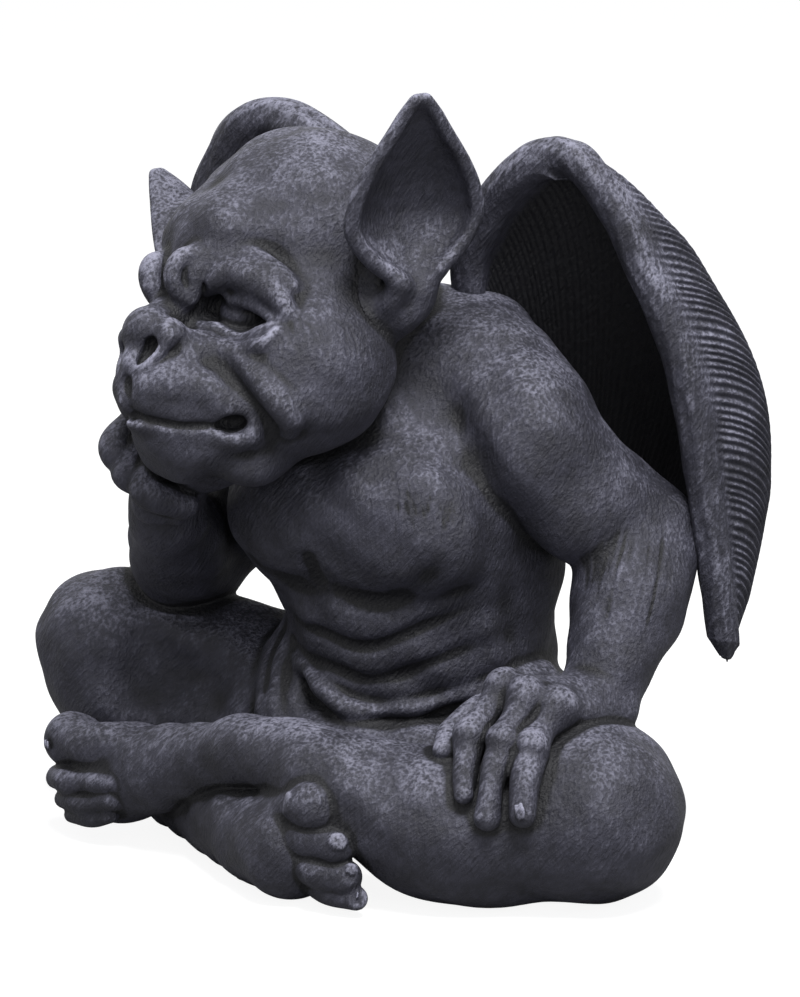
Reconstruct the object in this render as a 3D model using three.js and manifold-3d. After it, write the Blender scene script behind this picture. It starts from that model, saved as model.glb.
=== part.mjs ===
// Seated gargoyle figurine: castings of stone-filled resin, pinned and glued together, on felt pads.
// Millimetres, +Z up. The figure faces -Y and its own left side is +X.
import * as THREE from "three";
import Module from "manifold-3d";
import { LoftGeometry } from "three/addons/geometries/LoftGeometry.js";
import { mergeVertices } from "three/addons/utils/BufferGeometryUtils.js";

const wasm = await Module();
wasm.setup();

// Joints between the castings
const glueLine = 0.35;
const boreClearance = 0.3;
const neckDowelDiameter = 8;
const neckDowelLength = 26;
const shoulderDowelDiameter = 6;
const shoulderDowelLength = 20;
const hipDowelDiameter = 8;
const hipDowelLength = 24;
const wingPinDiameter = 4;
const wingPinLength = 14;
const earPinDiameter = 3;
const earPinLength = 10;
const padDiameter = 10;
const padThickness = 1;

// Skeleton: the middle of each joint
const pelvis = at(0, 12, 24);
const waist = at(0, 6, 56);
const chest = at(-1, -8, 90);
const shoulderBlades = at(0, 8, 112);
const ribCage = at(-1, -3, 88);
const spineTop = at(-2, 2, 112);
const neckRoot = at(-4, -2, 116);
const neckTop = at(-9, -12, 126);
const headCentre = at(-20, -31, 144);
const headPitch = 4;
const headRoll = -14;
const headYaw = -18;
const leftShoulder = at(38, -2, 112);
const leftElbow = at(57, 20, 84);
const leftWrist = at(61, -10, 47);
const leftKnuckles = at(54, -30, 49);
const rightShoulder = at(-40, -1, 105);
const rightElbow = at(-70, 0, 64);
const rightWrist = at(-45, -41, 88);
const rightKnuckles = at(-40, -45, 102);
const leftHip = at(26, 6, 26);
const leftKnee = at(66.5, -20, 23);
const leftCalf = at(40, -41, 21.5);
const leftShin = at(14, -51, 29);
const leftShinEnd = at(0, -51, 34);
const leftAnkle = at(-16, -49, 33.5);
const leftHeel = at(-32, -45.5, 28.5);
const leftInstep = at(-50, -40.5, 22);
const leftToeRoots = at(-64, -36.5, 18);
const rightHip = at(-26, 6, 26);
const rightKnee = at(-85, -11, 44.5);
const rightCalf = at(-79, -11, 27);
const rightAnkle = at(-58, -13, 11);
const rightInstep = at(-26, -38, 12.5);
const rightToeRoots = at(3, -57, 13);

// Hands and feet: the joints of each finger from the knuckle, and the tips of the toes from the big one
const leftFingers = [
  [at(48.5, -32, 53.5), at(47.5, -44, 44.5), at(51.6, -54, 33)],
  [at(55.5, -33, 52.5), at(56.4, -43, 44), at(58, -53.4, 28)],
  [at(62, -29.5, 50), at(62, -40, 43), at(66, -50.4, 29.5)],
  [at(50, -20, 47), at(42, -31, 47.5), at(38.5, -39, 43.5), at(40.5, -45.5, 40.5)],
];
const rightFingers = [
  [at(-49, -49, 111), at(-48, -57, 106), at(-42, -50, 101)],
  [at(-44, -51, 107.5), at(-43, -58.5, 101.5), at(-37, -51, 97)],
  [at(-39, -53, 104), at(-37, -60, 98), at(-32, -53, 94)],
  [at(-44, -46, 96), at(-41, -54, 92.5), at(-35, -51, 91)],
];
const leftToeTips = [at(-81, -36, 25), at(-82, -37.5, 16.4), at(-80.5, -38, 10.6), at(-77, -38.5, 5.8)];
const rightToeTips = [at(14, -62, 26.5), at(20, -62.5, 17.6), at(23, -62.5, 9.8), at(25.5, -61.5, 4.9)];

// Radii of the neck and limbs
const neckRadius = 19;
const neckFlare = 3;
const leftShoulderRadius = 15.5;
const leftUpperArmRadius = 15;
const leftElbowRadius = 12.5;
const leftForearmRadius = 14.5;
const rightShoulderRadius = 18;
const rightUpperArmRadius = 16.5;
const rightElbowRadius = 12.5;
const rightForearmRadius = 13.5;
const wristRadius = 8.5;
const palmRadius = 8;
const fistRadius = 10.5;
const fingerRadius = 4;
const hipRadius = 25;
const thighRadius = 23.5;
const leftKneeRadius = 21;
const rightKneeRadius = 19.5;
const calfRadius = 18;
const shinRadius = 13.5;
const shinEndRadius = 9.8;
const ankleRadius = 8;
const leftHeelRadius = 8.5;
const rightHeelRadius = 12.5;
const footRadius = 12;
const bigToeRadius = 6.8;
const toeRadius = 4.8;
const toeStep = 0.6; // each smaller toe is this much thinner than the one before it
const toeRootLift = 3; // the big toe springs this far above the ball of the foot
const toeFan = 2; // and each smaller toe this much lower
const toeRootShare = 0.2; // where a toe starts, as a share of the way to its tip

// Muscles of the stretched left arm
const deltoid = { centre: at(41, -8, 108), radii: at(11.5, 12, 15), melt: 5 };
const biceps = { centre: at(49, -1, 91.5), radii: at(10, 12, 15), turn: at(35, 28, 0), melt: 4 };
const triceps = { centre: at(51.5, 15.5, 96), radii: at(8.5, 9, 11), turn: at(-30, 35, 0), melt: 4 };
const forearmMuscle = { centre: at(59, 7, 72), radii: at(12, 12, 16), turn: at(30, 8, 0), melt: 5 };

// Masses of the torso, laid on the skeleton
const pelvisMass = { centre: pelvis, radii: at(40, 32, 26) };
const waistMass = { centre: waist, radii: at(34, 31, 30), melt: 14 };
const ribs = { centre: chest, radii: at(39, 30, 32), melt: 14 };
const hump = { centre: shoulderBlades, radii: at(36, 24, 24), melt: 12 };
const flank = { centre: at(29, 7, 80), radii: at(10, 12, 22), melt: 8 };
const breast = { centre: at(16, -29, 90), radii: at(21, 10, 17), turn: at(0, 12, 14), melt: 6 };
const bellyRolls = [
  { centre: at(2, -18, 66), radii: at(27, 13, 6), melt: 4 },
  { centre: at(2, -16, 57), radii: at(27, 13, 6), melt: 4 },
  { centre: at(3, -14, 48), radii: at(28, 13, 6), melt: 4 },
];
const loincloth = { centre: at(2, -16, 30), radii: at(31, 19, 13), melt: 4 };
const yokePoints = [at(-30, 0, 116), at(-20, 4, 121), at(0, 8, 125), at(20, 4, 123), at(30, 0, 118)];
const yokeRadii = [15, 17, 18, 17, 15];

// Masses of the head in its own frame, where the face looks along -Y
const skull = { centre: at(0, 14.5, 7.5), radii: at(32, 31, 32) };
const cheek = { centre: at(22, -7, -18), radii: at(15, 20, 19), melt: 12 };
const jaw = { centre: at(0, -12, -25.5), radii: at(27, 21, 14), melt: 10 };
const muzzle = { centre: at(0, -20, -14), radii: at(16, 16, 16), melt: 7 };
const eyeSocket = { centre: at(15.5, -22.5, -1.5), radii: at(8, 5.5, 4), turn: at(0, 0, 35), melt: 3 };
const eyeball = { centre: at(11.3, -18.4, -1.2), radii: at(6, 6, 6), melt: 1 };
const browRidge = {
  points: [
    at(5.7, -20.5, 13.5),
    at(10, -17.8, 11),
    at(14.8, -14.4, 7.4),
    at(20, -11.4, 3.4),
    at(25, -10.5, -2),
  ],
  radii: [4.8, 5.6, 5.8, 5, 2.8],
  melt: 4,
};
const browKnot = {
  points: [at(6.4, -19, 15.4), at(3.4, -24.6, 12.2), at(3.2, -27.6, 8), at(5.6, -27, 3.6)],
  radii: [3.6, 4.6, 4.4, 3.2],
  melt: 4,
};
const bridge = { points: [at(0, -24, 6), at(0, -32, 1.5)], radii: [5, 5], melt: 5 };
const nose = { centre: at(0, -36.8, -0.2), radii: at(8, 6.4, 6.6), melt: 4 };
const noseWing = { centre: at(7, -35.2, -3.4), radii: at(5.2, 4.8, 5.2), melt: 4 };
const lipFlap = {
  points: [at(2.6, -41.4, -13), at(5.4, -38.2, -13.6), at(10.8, -32.8, -17), at(17.2, -28.4, -22.4)],
  radii: [6.2, 7.6, 7.2, 4.4],
  melt: 5,
};
const lipFold = {
  points: [
    at(8.6, -35.6, -5),
    at(11.9, -30.6, -9),
    at(16.2, -26.2, -14.8),
    at(21.2, -24.2, -23.4),
    at(19.9, -26.4, -30),
  ],
  radii: [2.6, 3.2, 3.4, 3.6, 2.8],
  melt: 3,
};
const chin = { centre: at(0, -35.6, -31), radii: at(12, 8, 7.4), melt: 4 };
const lowerLip = {
  points: [at(0, -41.2, -25), at(5.5, -39.4, -26.6), at(12.7, -33.8, -29), at(18, -29, -30)],
  radii: [4.2, 4.4, 4, 2.8],
  melt: 6,
};
const jowl = { centre: at(9.5, -23.5, -36.6), radii: at(9, 9, 6.4), melt: 6 };
const headCore = at(0, -12, -5);

// The left ear in the head's frame: a cupped leaf rising from its lobe, on a root in the skull's side
const earLobe = at(36.5, 15.5, -14);
const earRise = at(0.36, -0.03, 0.93).normalize();
const earAcross = at(0.3, 0.955, 0);
const earLength = 58;
const earHalfWidth = 17;
const earDepth = 10;
const earWall = 3;
const earRimShare = 0.45; // of the half width, where the leaf is too narrow for the full wall
const earHalfAngle = 1.35; // of the arc that a section of the cup covers, in radians
const earRoot = at(28, 17.5, -1);
const earRootRadius = 7;
const rightEarShift = at(-1, -1, -5.5); // the right ear sits this far from the mirror place of the left
// Width of the leaf as a share of its widest place, at shares of its length
const earOutline = [[0, 0.25], [0.12, 0.72], [0.32, 1], [0.55, 0.86], [0.8, 0.45], [1, 0.05]];

// The left wing: a cupped shell with a bone along its leading edge and finger bones across it
const wingLeading = [
  at(12, 16, 116),
  at(11.5, 10, 147),
  at(19.5, 7.5, 163.5),
  at(39, 4, 179),
  at(52, 6.5, 172),
  at(71, 16.5, 122),
  at(76, 27, 55),
];
const wingTrailing = [
  at(9, 22, 84),
  at(12, 36, 84),
  at(22, 48, 80),
  at(36, 55, 70),
  at(57, 52, 56),
  at(75.5, 29, 52),
];
const wingOutward = at(0.75, 0.66, 0.1).normalize();
const wingArch = 3; // the shell stands out this far all along
const wingBulge = 12; // and this much more where it swells most
const wingBulgePlace = 0.71; // as a share of the leading edge
const wingBulgeWidth = 0.24;
const wingLean = 0.55; // below 1 the shell swells nearer to its bone
const wingThickness = 3.8;
const wingBoneRadius = 4.9;
const wingBoneTaper = 0.3; // share of its radius that the bone loses on the way to its tip
const wingFingerRadius = 3;
const wingEdgeTaper = 0.55; // share of its thickness that the shell loses on the way to the trailing edge
const wingTipFade = 9; // how quickly the swell dies away at the tip
const wingBoneShare = 0.6; // the bone's radius is never more than this share of the wing's width
const wingScallop = 0.07; // depth of the trailing edge's hollows, as a share of the wing's width
const wingFingers = 3; // spans between the finger bones
const wingRoot = [at(11, 31, 87), at(14, 30, 112), at(15, 17, 134)];
const wingRootRadii = [8.5, 9.5, 5];
const rightRootShift = at(0, 3, 4); // the right root sits this far from the mirror place of the left
const rightWingStretch = 1.2; // the right wing spreads this much wider than the left
const rightWingShift = at(-3, 11.1, 2.6);

const resin = { color: 0x33333b, roughness: 0.85, metalness: 0 };
const hardwood = { color: 0xc9a878, roughness: 0.7, metalness: 0 };
const steel = { color: 0x9a9da1, roughness: 0.35, metalness: 1 };
const felt = { color: 0x1d1d1f, roughness: 1, metalness: 0 };

const baseLevel = padThickness + glueLine;

function at(x, y, z) {
  return new THREE.Vector3(x, y, z);
}

function mirrored(point) {
  return at(-point.x, point.y, point.z);
}

function between(from, to, share) {
  return from.clone().lerp(to, share);
}

function inRadians(degrees) {
  return degrees.toArray().map((angle) => THREE.MathUtils.degToRad(angle));
}

// Clay: a form gives its distance in millimetres, negative inside, and how wide it melts into the rest
function egg({ centre, radii, turn = at(0, 0, 0), melt = 8 }) {
  const unturn = new THREE.Quaternion().setFromEuler(new THREE.Euler(...inRadians(turn), "ZYX")).invert();
  const distance = (point) => {
    const near = point.clone().sub(centre).applyQuaternion(unturn).divide(radii);
    const level = near.length();
    const slope = near.divide(radii).length();
    return slope > 0 ? (level * (level - 1)) / slope : -Math.min(radii.x, radii.y, radii.z);
  };
  return { distance, melt };
}

// An egg and its mirror image
function eggs(form) {
  const turn = form.turn ?? at(0, 0, 0);
  return [egg(form), egg({ ...form, centre: mirrored(form.centre), turn: at(turn.x, -turn.y, -turn.z) })];
}

// A round limb along a smooth line, with a radius at each of its points
function limb(points, radii, melt = 8) {
  const line = new THREE.CatmullRomCurve3(points);
  const spans = points.length - 1;
  const beadsPerSpan = 10;
  const beads = [];
  for (let i = 0; i <= spans * beadsPerSpan; i++) {
    const along = i / beadsPerSpan;
    const before = Math.min(Math.floor(along), spans - 1);
    const radius = THREE.MathUtils.lerp(radii[before], radii[before + 1], along - before);
    beads.push({ centre: line.getPoint(along / spans), radius });
  }
  const toBead = (point, bead) => point.distanceTo(bead.centre) - bead.radius;
  const distance = (point) => Math.min(...beads.map((bead) => toBead(point, bead)));
  return { distance, melt };
}

// A limb across one side of the face, and its mirror image
function folds({ points, radii, melt }) {
  return [limb(points, radii, melt), limb(points.map(mirrored), radii, melt)];
}

function carved(form) {
  return { ...form, carve: true };
}

function softMin(a, b, melt) {
  const near = Math.max(melt - Math.abs(a - b), 0) / melt;
  return Math.min(a, b) - (near * near * melt) / 4;
}

// All forms pressed together in their order
function knead(forms) {
  const farAway = 1000;
  return (point) =>
    forms.reduce((depth, form) => {
      const distance = form.distance(point);
      return form.carve ? -softMin(-depth, distance, form.melt) : softMin(depth, distance, form.melt);
    }, farAway);
}

// Where a ray from inside the clay first comes out of it, or out of a layer grown on it
function surfacePoint(core, direction, clay, grow = 0) {
  const outside = (length) => clay(core.clone().addScaledVector(direction, length)) > grow;
  const step = 1.5;
  const reach = 90;
  let far = step;
  while (far < reach && !outside(far)) far += step;
  let near = far - step;
  for (let i = 0; i < 12; i++) {
    const middle = (near + far) / 2;
    if (outside(middle)) far = middle;
    else near = middle;
  }
  return core.clone().addScaledVector(direction, near);
}

function withSharedCorners(geometry) {
  const bare = new THREE.BufferGeometry().copy(geometry);
  bare.deleteAttribute("normal");
  bare.deleteAttribute("uv");
  return mergeVertices(bare, 1e-4);
}

function solidOf(geometry) {
  const merged = withSharedCorners(geometry);
  const index = merged.index.array;
  const corners = [];
  for (let i = 0; i < index.length; i += 3) {
    const [a, b, c] = [index[i], index[i + 1], index[i + 2]];
    if (a !== b && b !== c && c !== a) corners.push(a, b, c);
  }
  const triVerts = new Uint32Array(corners);
  const vertProperties = merged.attributes.position.array;
  return new wasm.Manifold(new wasm.Mesh({ numProp: 3, vertProperties, triVerts }));
}

// Moves every corner of a base shape out to the surface of the clay
function drawnOver(base, clay, grow, rayOf) {
  const skin = withSharedCorners(base);
  const place = skin.attributes.position;
  for (let i = 0; i < place.count; i++) {
    const { core, direction } = rayOf(at(0, 0, 0).fromBufferAttribute(place, i));
    const point = surfacePoint(core, direction, clay, grow);
    place.setXYZ(i, point.x, point.y, point.z);
  }
  return solidOf(skin);
}

// A capsule bent along the line through the points and drawn over the clay round it
function sleeve(points, forms, { sides = 10, rings = 6, caps = 2, grow = 0 } = {}) {
  const line = new THREE.CatmullRomCurve3(points);
  const frames = line.computeFrenetFrames(rings);
  const base = new THREE.CapsuleGeometry(1, 1, caps, sides, rings);
  return drawnOver(base, knead(forms), grow, (corner) => {
    const middle = THREE.MathUtils.clamp(corner.y, -0.5, 0.5);
    const along = middle + 0.5;
    const ring = Math.round(along * rings);
    const direction = at(0, 0, 0)
      .addScaledVector(frames.normals[ring], corner.x)
      .addScaledVector(frames.binormals[ring], -corner.z)
      .addScaledVector(frames.tangents[ring], corner.y - middle)
      .normalize();
    return { core: line.getPointAt(along), direction };
  });
}

// A plain limb: the sleeve of one line of radii
function limbSkin(points, radii, options) {
  return sleeve(points, [limb(points, radii)], options);
}

function digit(points, radius, grow) {
  const rings = 2 * (points.length - 1);
  return limbSkin(points, points.map(() => radius), { sides: 6, rings, caps: 2, grow });
}

// A ball of even triangles drawn over the clay round one core
function ball(core, forms, detail, grow = 0) {
  const base = new THREE.IcosahedronGeometry(1, detail);
  return drawnOver(base, knead(forms), grow, (corner) => ({ core, direction: corner.normalize() }));
}

function joined(solids) {
  return solids.reduce((whole, solid) => whole.add(solid));
}

function largestBody(solid) {
  return solid.decompose().reduce((big, body) => (body.volume() > big.volume() ? body : big));
}

// Torso, with the loincloth round the hips
const torsoForms = [
  egg(pelvisMass),
  egg(waistMass),
  egg(ribs),
  egg(hump),
  limb(yokePoints, yokeRadii, 12),
  ...eggs(flank),
  ...eggs(breast),
  ...bellyRolls.map(egg),
  egg(loincloth),
];
const neckForms = [limb([neckRoot, neckTop], [neckRadius + neckFlare, neckRadius])];

function torso(grow) {
  const spine = [pelvis, waist, ribCage, spineTop];
  return joined([
    sleeve(spine, torsoForms, { sides: 20, rings: 12, caps: 3, grow }),
    sleeve([neckRoot, neckTop], neckForms, { sides: 12, rings: 2, caps: 3, grow }),
  ]);
}

// Head
const headPose = new THREE.Matrix4()
  .makeRotationFromEuler(new THREE.Euler(...inRadians(at(headPitch, headRoll, headYaw)), "ZYX"))
  .setPosition(headCentre);
const headForms = [
  egg(skull),
  ...eggs(cheek),
  egg(jaw),
  egg(muzzle),
  ...eggs(eyeSocket).map(carved),
  ...eggs(eyeball),
  ...folds(browRidge),
  ...folds(browKnot),
  limb(bridge.points, bridge.radii, bridge.melt),
  egg(nose),
  ...eggs(noseWing),
  ...folds(lipFlap),
  ...folds(lipFold),
  egg(chin),
  ...folds(lowerLip),
  ...eggs(jowl),
];

const headDetail = 9;

function head(grow) {
  return ball(headCore, headForms, headDetail, grow).transform(headPose.toArray());
}

// An end section drawn together to its middle, which closes a loft
function closing(section) {
  const middle = section.reduce((sum, point) => sum.add(point), at(0, 0, 0)).divideScalar(section.length);
  return section.map(() => middle);
}

function closedLoft(sections) {
  return solidOf(new LoftGeometry([closing(sections[0]), ...sections, closing(sections.at(-1))]));
}

// The cupped sections of an ear are crescents between an outer and an inner arc
function leftEar(grow) {
  const open = at(0, 0, 0).crossVectors(earAcross, earRise).normalize();
  const wide = at(0, 0, 0).crossVectors(earRise, open);
  const corners = earOutline.map(([along, width]) => new THREE.Vector2(along, width));
  const outline = new THREE.SplineCurve(corners);
  const stations = 9;
  const arcs = 6;
  const sections = [];
  for (let i = 0; i <= stations; i++) {
    const { x: along, y: share } = outline.getPoint(i / stations);
    const half = share * earHalfWidth;
    const depth = share * earDepth;
    const wall = Math.min(earWall, half * earRimShare);
    const middle = earLobe.clone().addScaledVector(earRise, along * (earLength + 2 * grow) - grow);
    const arc = (offset) =>
      Array.from({ length: arcs + 1 }, (_, j) => {
        const angle = ((j / arcs) * 2 - 1) * earHalfAngle;
        const sideways = middle.clone().addScaledVector(wide, Math.sin(angle) * (half + offset));
        return sideways.addScaledVector(open, -Math.cos(angle) * (depth + offset));
      });
    sections.push([...arc(-wall - grow), ...arc(grow).reverse()]);
  }
  const root = egg({ centre: earRoot, radii: at(1, 1, 1).multiplyScalar(earRootRadius) });
  return closedLoft(sections).add(ball(earRoot, [root], 2, grow));
}

function leftEarInPlace(grow) {
  return leftEar(grow).transform(headPose.toArray());
}

function rightEarInPlace(grow) {
  const unposed = leftEar(grow).mirror([1, 0, 0]).translate(rightEarShift.toArray());
  return unposed.transform(headPose.toArray());
}

// Arms: the left hand lies over the left knee, the right fist carries the chin
function leftArm(grow) {
  const upper = [leftShoulder, between(leftShoulder, leftElbow, 0.45), leftElbow];
  const upperRadii = [leftShoulderRadius, leftUpperArmRadius, leftElbowRadius];
  const upperForms = [limb(upper, upperRadii), egg(deltoid), egg(biceps), egg(triceps)];
  const lower = [leftElbow, between(leftElbow, leftWrist, 0.4), leftWrist];
  const lowerForms = [limb(lower, [leftElbowRadius, leftForearmRadius, wristRadius]), egg(forearmMuscle)];
  return joined([
    sleeve(upper, upperForms, { sides: 12, rings: 7, caps: 3, grow }),
    sleeve(lower, lowerForms, { grow }),
    limbSkin([leftWrist, leftKnuckles], [wristRadius, palmRadius], { rings: 3, grow }),
    ...leftFingers.map((points) => digit(points, fingerRadius, grow)),
  ]);
}

function rightArm(grow) {
  const upper = [rightShoulder, between(rightShoulder, rightElbow, 0.5), rightElbow];
  const lower = [rightElbow, between(rightElbow, rightWrist, 0.45), rightWrist];
  const upperRadii = [rightShoulderRadius, rightUpperArmRadius, rightElbowRadius];
  return joined([
    limbSkin(upper, upperRadii, { sides: 12, grow }),
    limbSkin(lower, [rightElbowRadius, rightForearmRadius, wristRadius], { grow }),
    limbSkin([rightWrist, rightKnuckles], [wristRadius, fistRadius], { rings: 3, grow }),
    ...rightFingers.map((points) => digit(points, fingerRadius, grow)),
  ]);
}

// Toes fan out from the ball of the foot, the big toe on top because both feet lie on their outer edge
function toes(roots, tips, grow) {
  return tips.map((tip, i) => {
    const root = between(roots, tip, toeRootShare).add(at(0, 0, toeRootLift - toeFan * i));
    return digit([root, tip], i ? toeRadius - (i - 1) * toeStep : bigToeRadius, grow);
  });
}

// Legs, crossed: the left shin lies over the right foot
function leftLeg(grow) {
  const thigh = [leftHip, between(leftHip, leftKnee, 0.5), leftKnee];
  const shin = [leftKnee, leftCalf, leftShin, leftShinEnd, leftAnkle];
  const shinRadii = [leftKneeRadius, calfRadius, shinRadius, shinEndRadius, ankleRadius];
  const foot = [leftAnkle, leftHeel, leftInstep, leftToeRoots];
  return joined([
    limbSkin(thigh, [hipRadius, thighRadius, leftKneeRadius], { sides: 12, rings: 5, caps: 3, grow }),
    limbSkin(shin, shinRadii, { sides: 10, rings: 9, grow }),
    limbSkin(foot, [ankleRadius, leftHeelRadius, footRadius, footRadius], { grow }),
    ...toes(leftToeRoots, leftToeTips, grow),
  ]);
}

function rightLeg(grow) {
  const thigh = [rightHip, between(rightHip, rightKnee, 0.5), rightKnee];
  const shin = [rightKnee, rightCalf, rightAnkle];
  const foot = [rightAnkle, rightInstep, rightToeRoots];
  return joined([
    limbSkin(thigh, [hipRadius, thighRadius, rightKneeRadius], { sides: 12, rings: 5, caps: 3, grow }),
    limbSkin(shin, [rightKneeRadius, calfRadius, rightHeelRadius], { grow }),
    limbSkin(foot, [rightHeelRadius, footRadius, footRadius], { grow }),
    ...toes(rightToeRoots, rightToeTips, grow),
  ]);
}

// A wing's shell is lofted from root to tip; each section is a thin loop with a round bone in front
function wingShell() {
  const leading = new THREE.CatmullRomCurve3(wingLeading, false, "catmullrom");
  const trailing = new THREE.CatmullRomCurve3(wingTrailing, false, "catmullrom");
  const middle = (along, share) => {
    const station = THREE.MathUtils.clamp(along, 0, 1);
    const scallop = wingScallop * Math.abs(Math.sin(wingFingers * Math.PI * station));
    const width = THREE.MathUtils.clamp(share, 0, 1);
    const part = width * (1 - scallop * width);
    const swell = wingBulge * Math.exp(-1 * ((station - wingBulgePlace) / wingBulgeWidth) ** 2);
    const tipFade = Math.min(1, wingTipFade * (1 - station));
    const arch = wingArch * Math.sin(Math.PI * station) ** 0.6 + swell * tipFade;
    const flat = between(leading.getPointAt(station), trailing.getPointAt(station), part);
    return flat.addScaledVector(wingOutward, arch * Math.sin(Math.PI * part ** wingLean));
  };
  const nudge = 0.01;
  const crosswise = (along, share) => {
    const ahead = middle(along, share + nudge);
    return ahead.sub(middle(along, share - nudge)).normalize();
  };
  const outerNormal = (along, share) => {
    const lengthwise = middle(along + nudge, share).sub(middle(along - nudge, share));
    return lengthwise.cross(crosswise(along, share)).normalize();
  };
  const stationsPerFinger = 6;
  const stations = wingFingers * stationsPerFinger;
  const across = 6;
  const frontAngles = [-45, 0, 45].map(THREE.MathUtils.degToRad);
  const sections = [];
  for (let i = 0; i <= stations; i++) {
    const along = i / stations;
    const width = middle(along, 0).distanceTo(middle(along, 1));
    const bone = Math.min(wingBoneRadius * (1 - wingBoneTaper * along ** 2), wingBoneShare * width);
    const onFinger = i % stationsPerFinger === 0 && i > 0 && i < stations;
    const outer = [];
    const inner = [];
    for (let j = 0; j <= across; j++) {
      const share = (j / across) ** 1.6;
      const membrane = (onFinger ? wingFingerRadius : wingThickness / 2) * (1 - wingEdgeTaper * share);
      const far = Math.min(middle(along, 0).distanceTo(middle(along, share)), bone);
      const half = Math.max(membrane, Math.sqrt(bone ** 2 - far ** 2));
      outer.push(middle(along, share).addScaledVector(outerNormal(along, share), half));
      inner.push(middle(along, share).addScaledVector(outerNormal(along, share), -half));
    }
    const front = frontAngles.map((angle) =>
      middle(along, 0)
        .addScaledVector(crosswise(along, 0), -bone * Math.cos(angle))
        .addScaledVector(outerNormal(along, 0), -bone * Math.sin(angle)),
    );
    sections.push([...inner, ...outer.reverse(), ...front]);
  }
  return closedLoft(sections);
}

function leftWing() {
  return wingShell().add(limbSkin(wingRoot, wingRootRadii));
}

const rightRoot = wingRoot.map((point) => mirrored(point).add(rightRootShift));

function rightWing() {
  const shell = wingShell().mirror([1, 0, 0]).scale([rightWingStretch, 1, 1]);
  return shell.translate(rightWingShift.toArray()).add(limbSkin(rightRoot, wingRootRadii));
}

const group = new THREE.Group();

function addPiece(name, solid, look) {
  const made = solid.getMesh();
  const geometry = new THREE.BufferGeometry();
  geometry.setAttribute("position", new THREE.BufferAttribute(made.vertProperties, 3));
  geometry.setIndex(new THREE.BufferAttribute(made.triVerts, 1));
  geometry.computeVertexNormals();
  const mesh = new THREE.Mesh(geometry, new THREE.MeshStandardMaterial(look));
  mesh.name = name;
  group.add(mesh);
}

function cylinder(centre, direction, diameter, length, sides) {
  const shape = new THREE.CylinderGeometry(diameter / 2, diameter / 2, length, sides);
  shape.applyQuaternion(new THREE.Quaternion().setFromUnitVectors(at(0, 1, 0), direction));
  return solidOf(shape.translate(centre.x, centre.y, centre.z));
}

// A pin crosses the seam where a line leaves the casting it starts in; its bore has room all round
const pinSides = 10;
const pins = [];

function addPin(name, inside, towards, clay, diameter, length, look) {
  const direction = towards.clone().sub(inside).normalize();
  const seam = surfacePoint(inside, direction, clay);
  const solid = cylinder(seam, direction, diameter, length, pinSides);
  const room = 2 * boreClearance;
  const bore = cylinder(seam, direction, diameter + room, length + room, pinSides);
  pins.push({ name, solid, bore, look });
}

const torsoClay = knead(torsoForms);
const skullClay = knead(headForms);
const intoHead = headPose.clone().invert();
const skullInPlace = (point) => skullClay(point.clone().applyMatrix4(intoHead));

addPin("neck_dowel", neckRoot, headCentre, knead(neckForms), neckDowelDiameter, neckDowelLength, hardwood);
for (const { side, sign, yokeEnd, shoulder, elbow, hip, knee, roots, earShift } of [
  {
    side: "left",
    sign: 1,
    yokeEnd: yokePoints.at(-1),
    shoulder: leftShoulder,
    elbow: leftElbow,
    hip: leftHip,
    knee: leftKnee,
    roots: wingRoot,
    earShift: at(0, 0, 0),
  },
  {
    side: "right",
    sign: -1,
    yokeEnd: yokePoints[0],
    shoulder: rightShoulder,
    elbow: rightElbow,
    hip: rightHip,
    knee: rightKnee,
    roots: rightRoot,
    earShift: rightEarShift,
  },
]) {
  const handed = (point) => (sign > 0 ? point.clone() : mirrored(point));
  const armAxis = between(shoulder, elbow, 0.35);
  const shoulderDowel = [shoulderDowelDiameter, shoulderDowelLength, hardwood];
  addPin(side + "_shoulder_dowel", yokeEnd, armAxis, torsoClay, ...shoulderDowel);
  addPin(side + "_hip_dowel", hip, knee, torsoClay, hipDowelDiameter, hipDowelLength, hardwood);
  for (const [level, place] of [["lower", roots[0]], ["upper", roots[1]]]) {
    const inBack = between(place, at(0, pelvis.y, place.z), 0.8);
    const wingPin = [wingPinDiameter, wingPinLength, steel];
    addPin(side + "_wing_" + level + "_pin", inBack, place, torsoClay, ...wingPin);
  }
  const earPlace = handed(earRoot).add(earShift);
  const inSkull = between(skull.centre, earPlace, 0.6).applyMatrix4(headPose);
  const inEar = earPlace.clone().applyMatrix4(headPose);
  addPin(side + "_ear_pin", inSkull, inEar, skullInPlace, earPinDiameter, earPinLength, steel);
}

// Each casting is cut flat underneath, leaves a glue line to those before it, and is bored for the pins
const castings = [
  ["torso", torso],
  ["head", head],
  ["left_ear", leftEarInPlace],
  ["right_ear", rightEarInPlace],
  ["right_leg", rightLeg],
  ["left_leg", leftLeg],
  ["right_arm", rightArm],
  ["left_arm", leftArm],
  ["left_wing", leftWing],
  ["right_wing", rightWing],
];
const seats = [];
for (const [name, make] of castings) {
  const flat = make(0).trimByPlane([0, 0, 1], baseLevel);
  const seated = seats.reduce((solid, seat) => solid.subtract(seat), flat);
  const bored = pins.reduce((solid, { bore }) => solid.subtract(bore), seated);
  addPiece(name, largestBody(bored), resin);
  if (!name.endsWith("wing")) seats.push(make(glueLine));
}
for (const { name, solid, look } of pins) addPiece(name, solid, look);

// Felt pads under the seat, the left thigh, the right ankle and the right foot
const padSides = 12;
for (const [name, place] of [
  ["seat_pad", pelvis],
  ["left_pad", between(leftHip, leftKnee, 0.6)],
  ["right_pad", rightAnkle],
  ["front_pad", between(rightInstep, rightToeRoots, 0.35)],
]) {
  const middle = at(place.x, place.y, padThickness / 2);
  addPiece(name, cylinder(middle, at(0, 0, 1), padDiameter, padThickness, padSides), felt);
}

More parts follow.
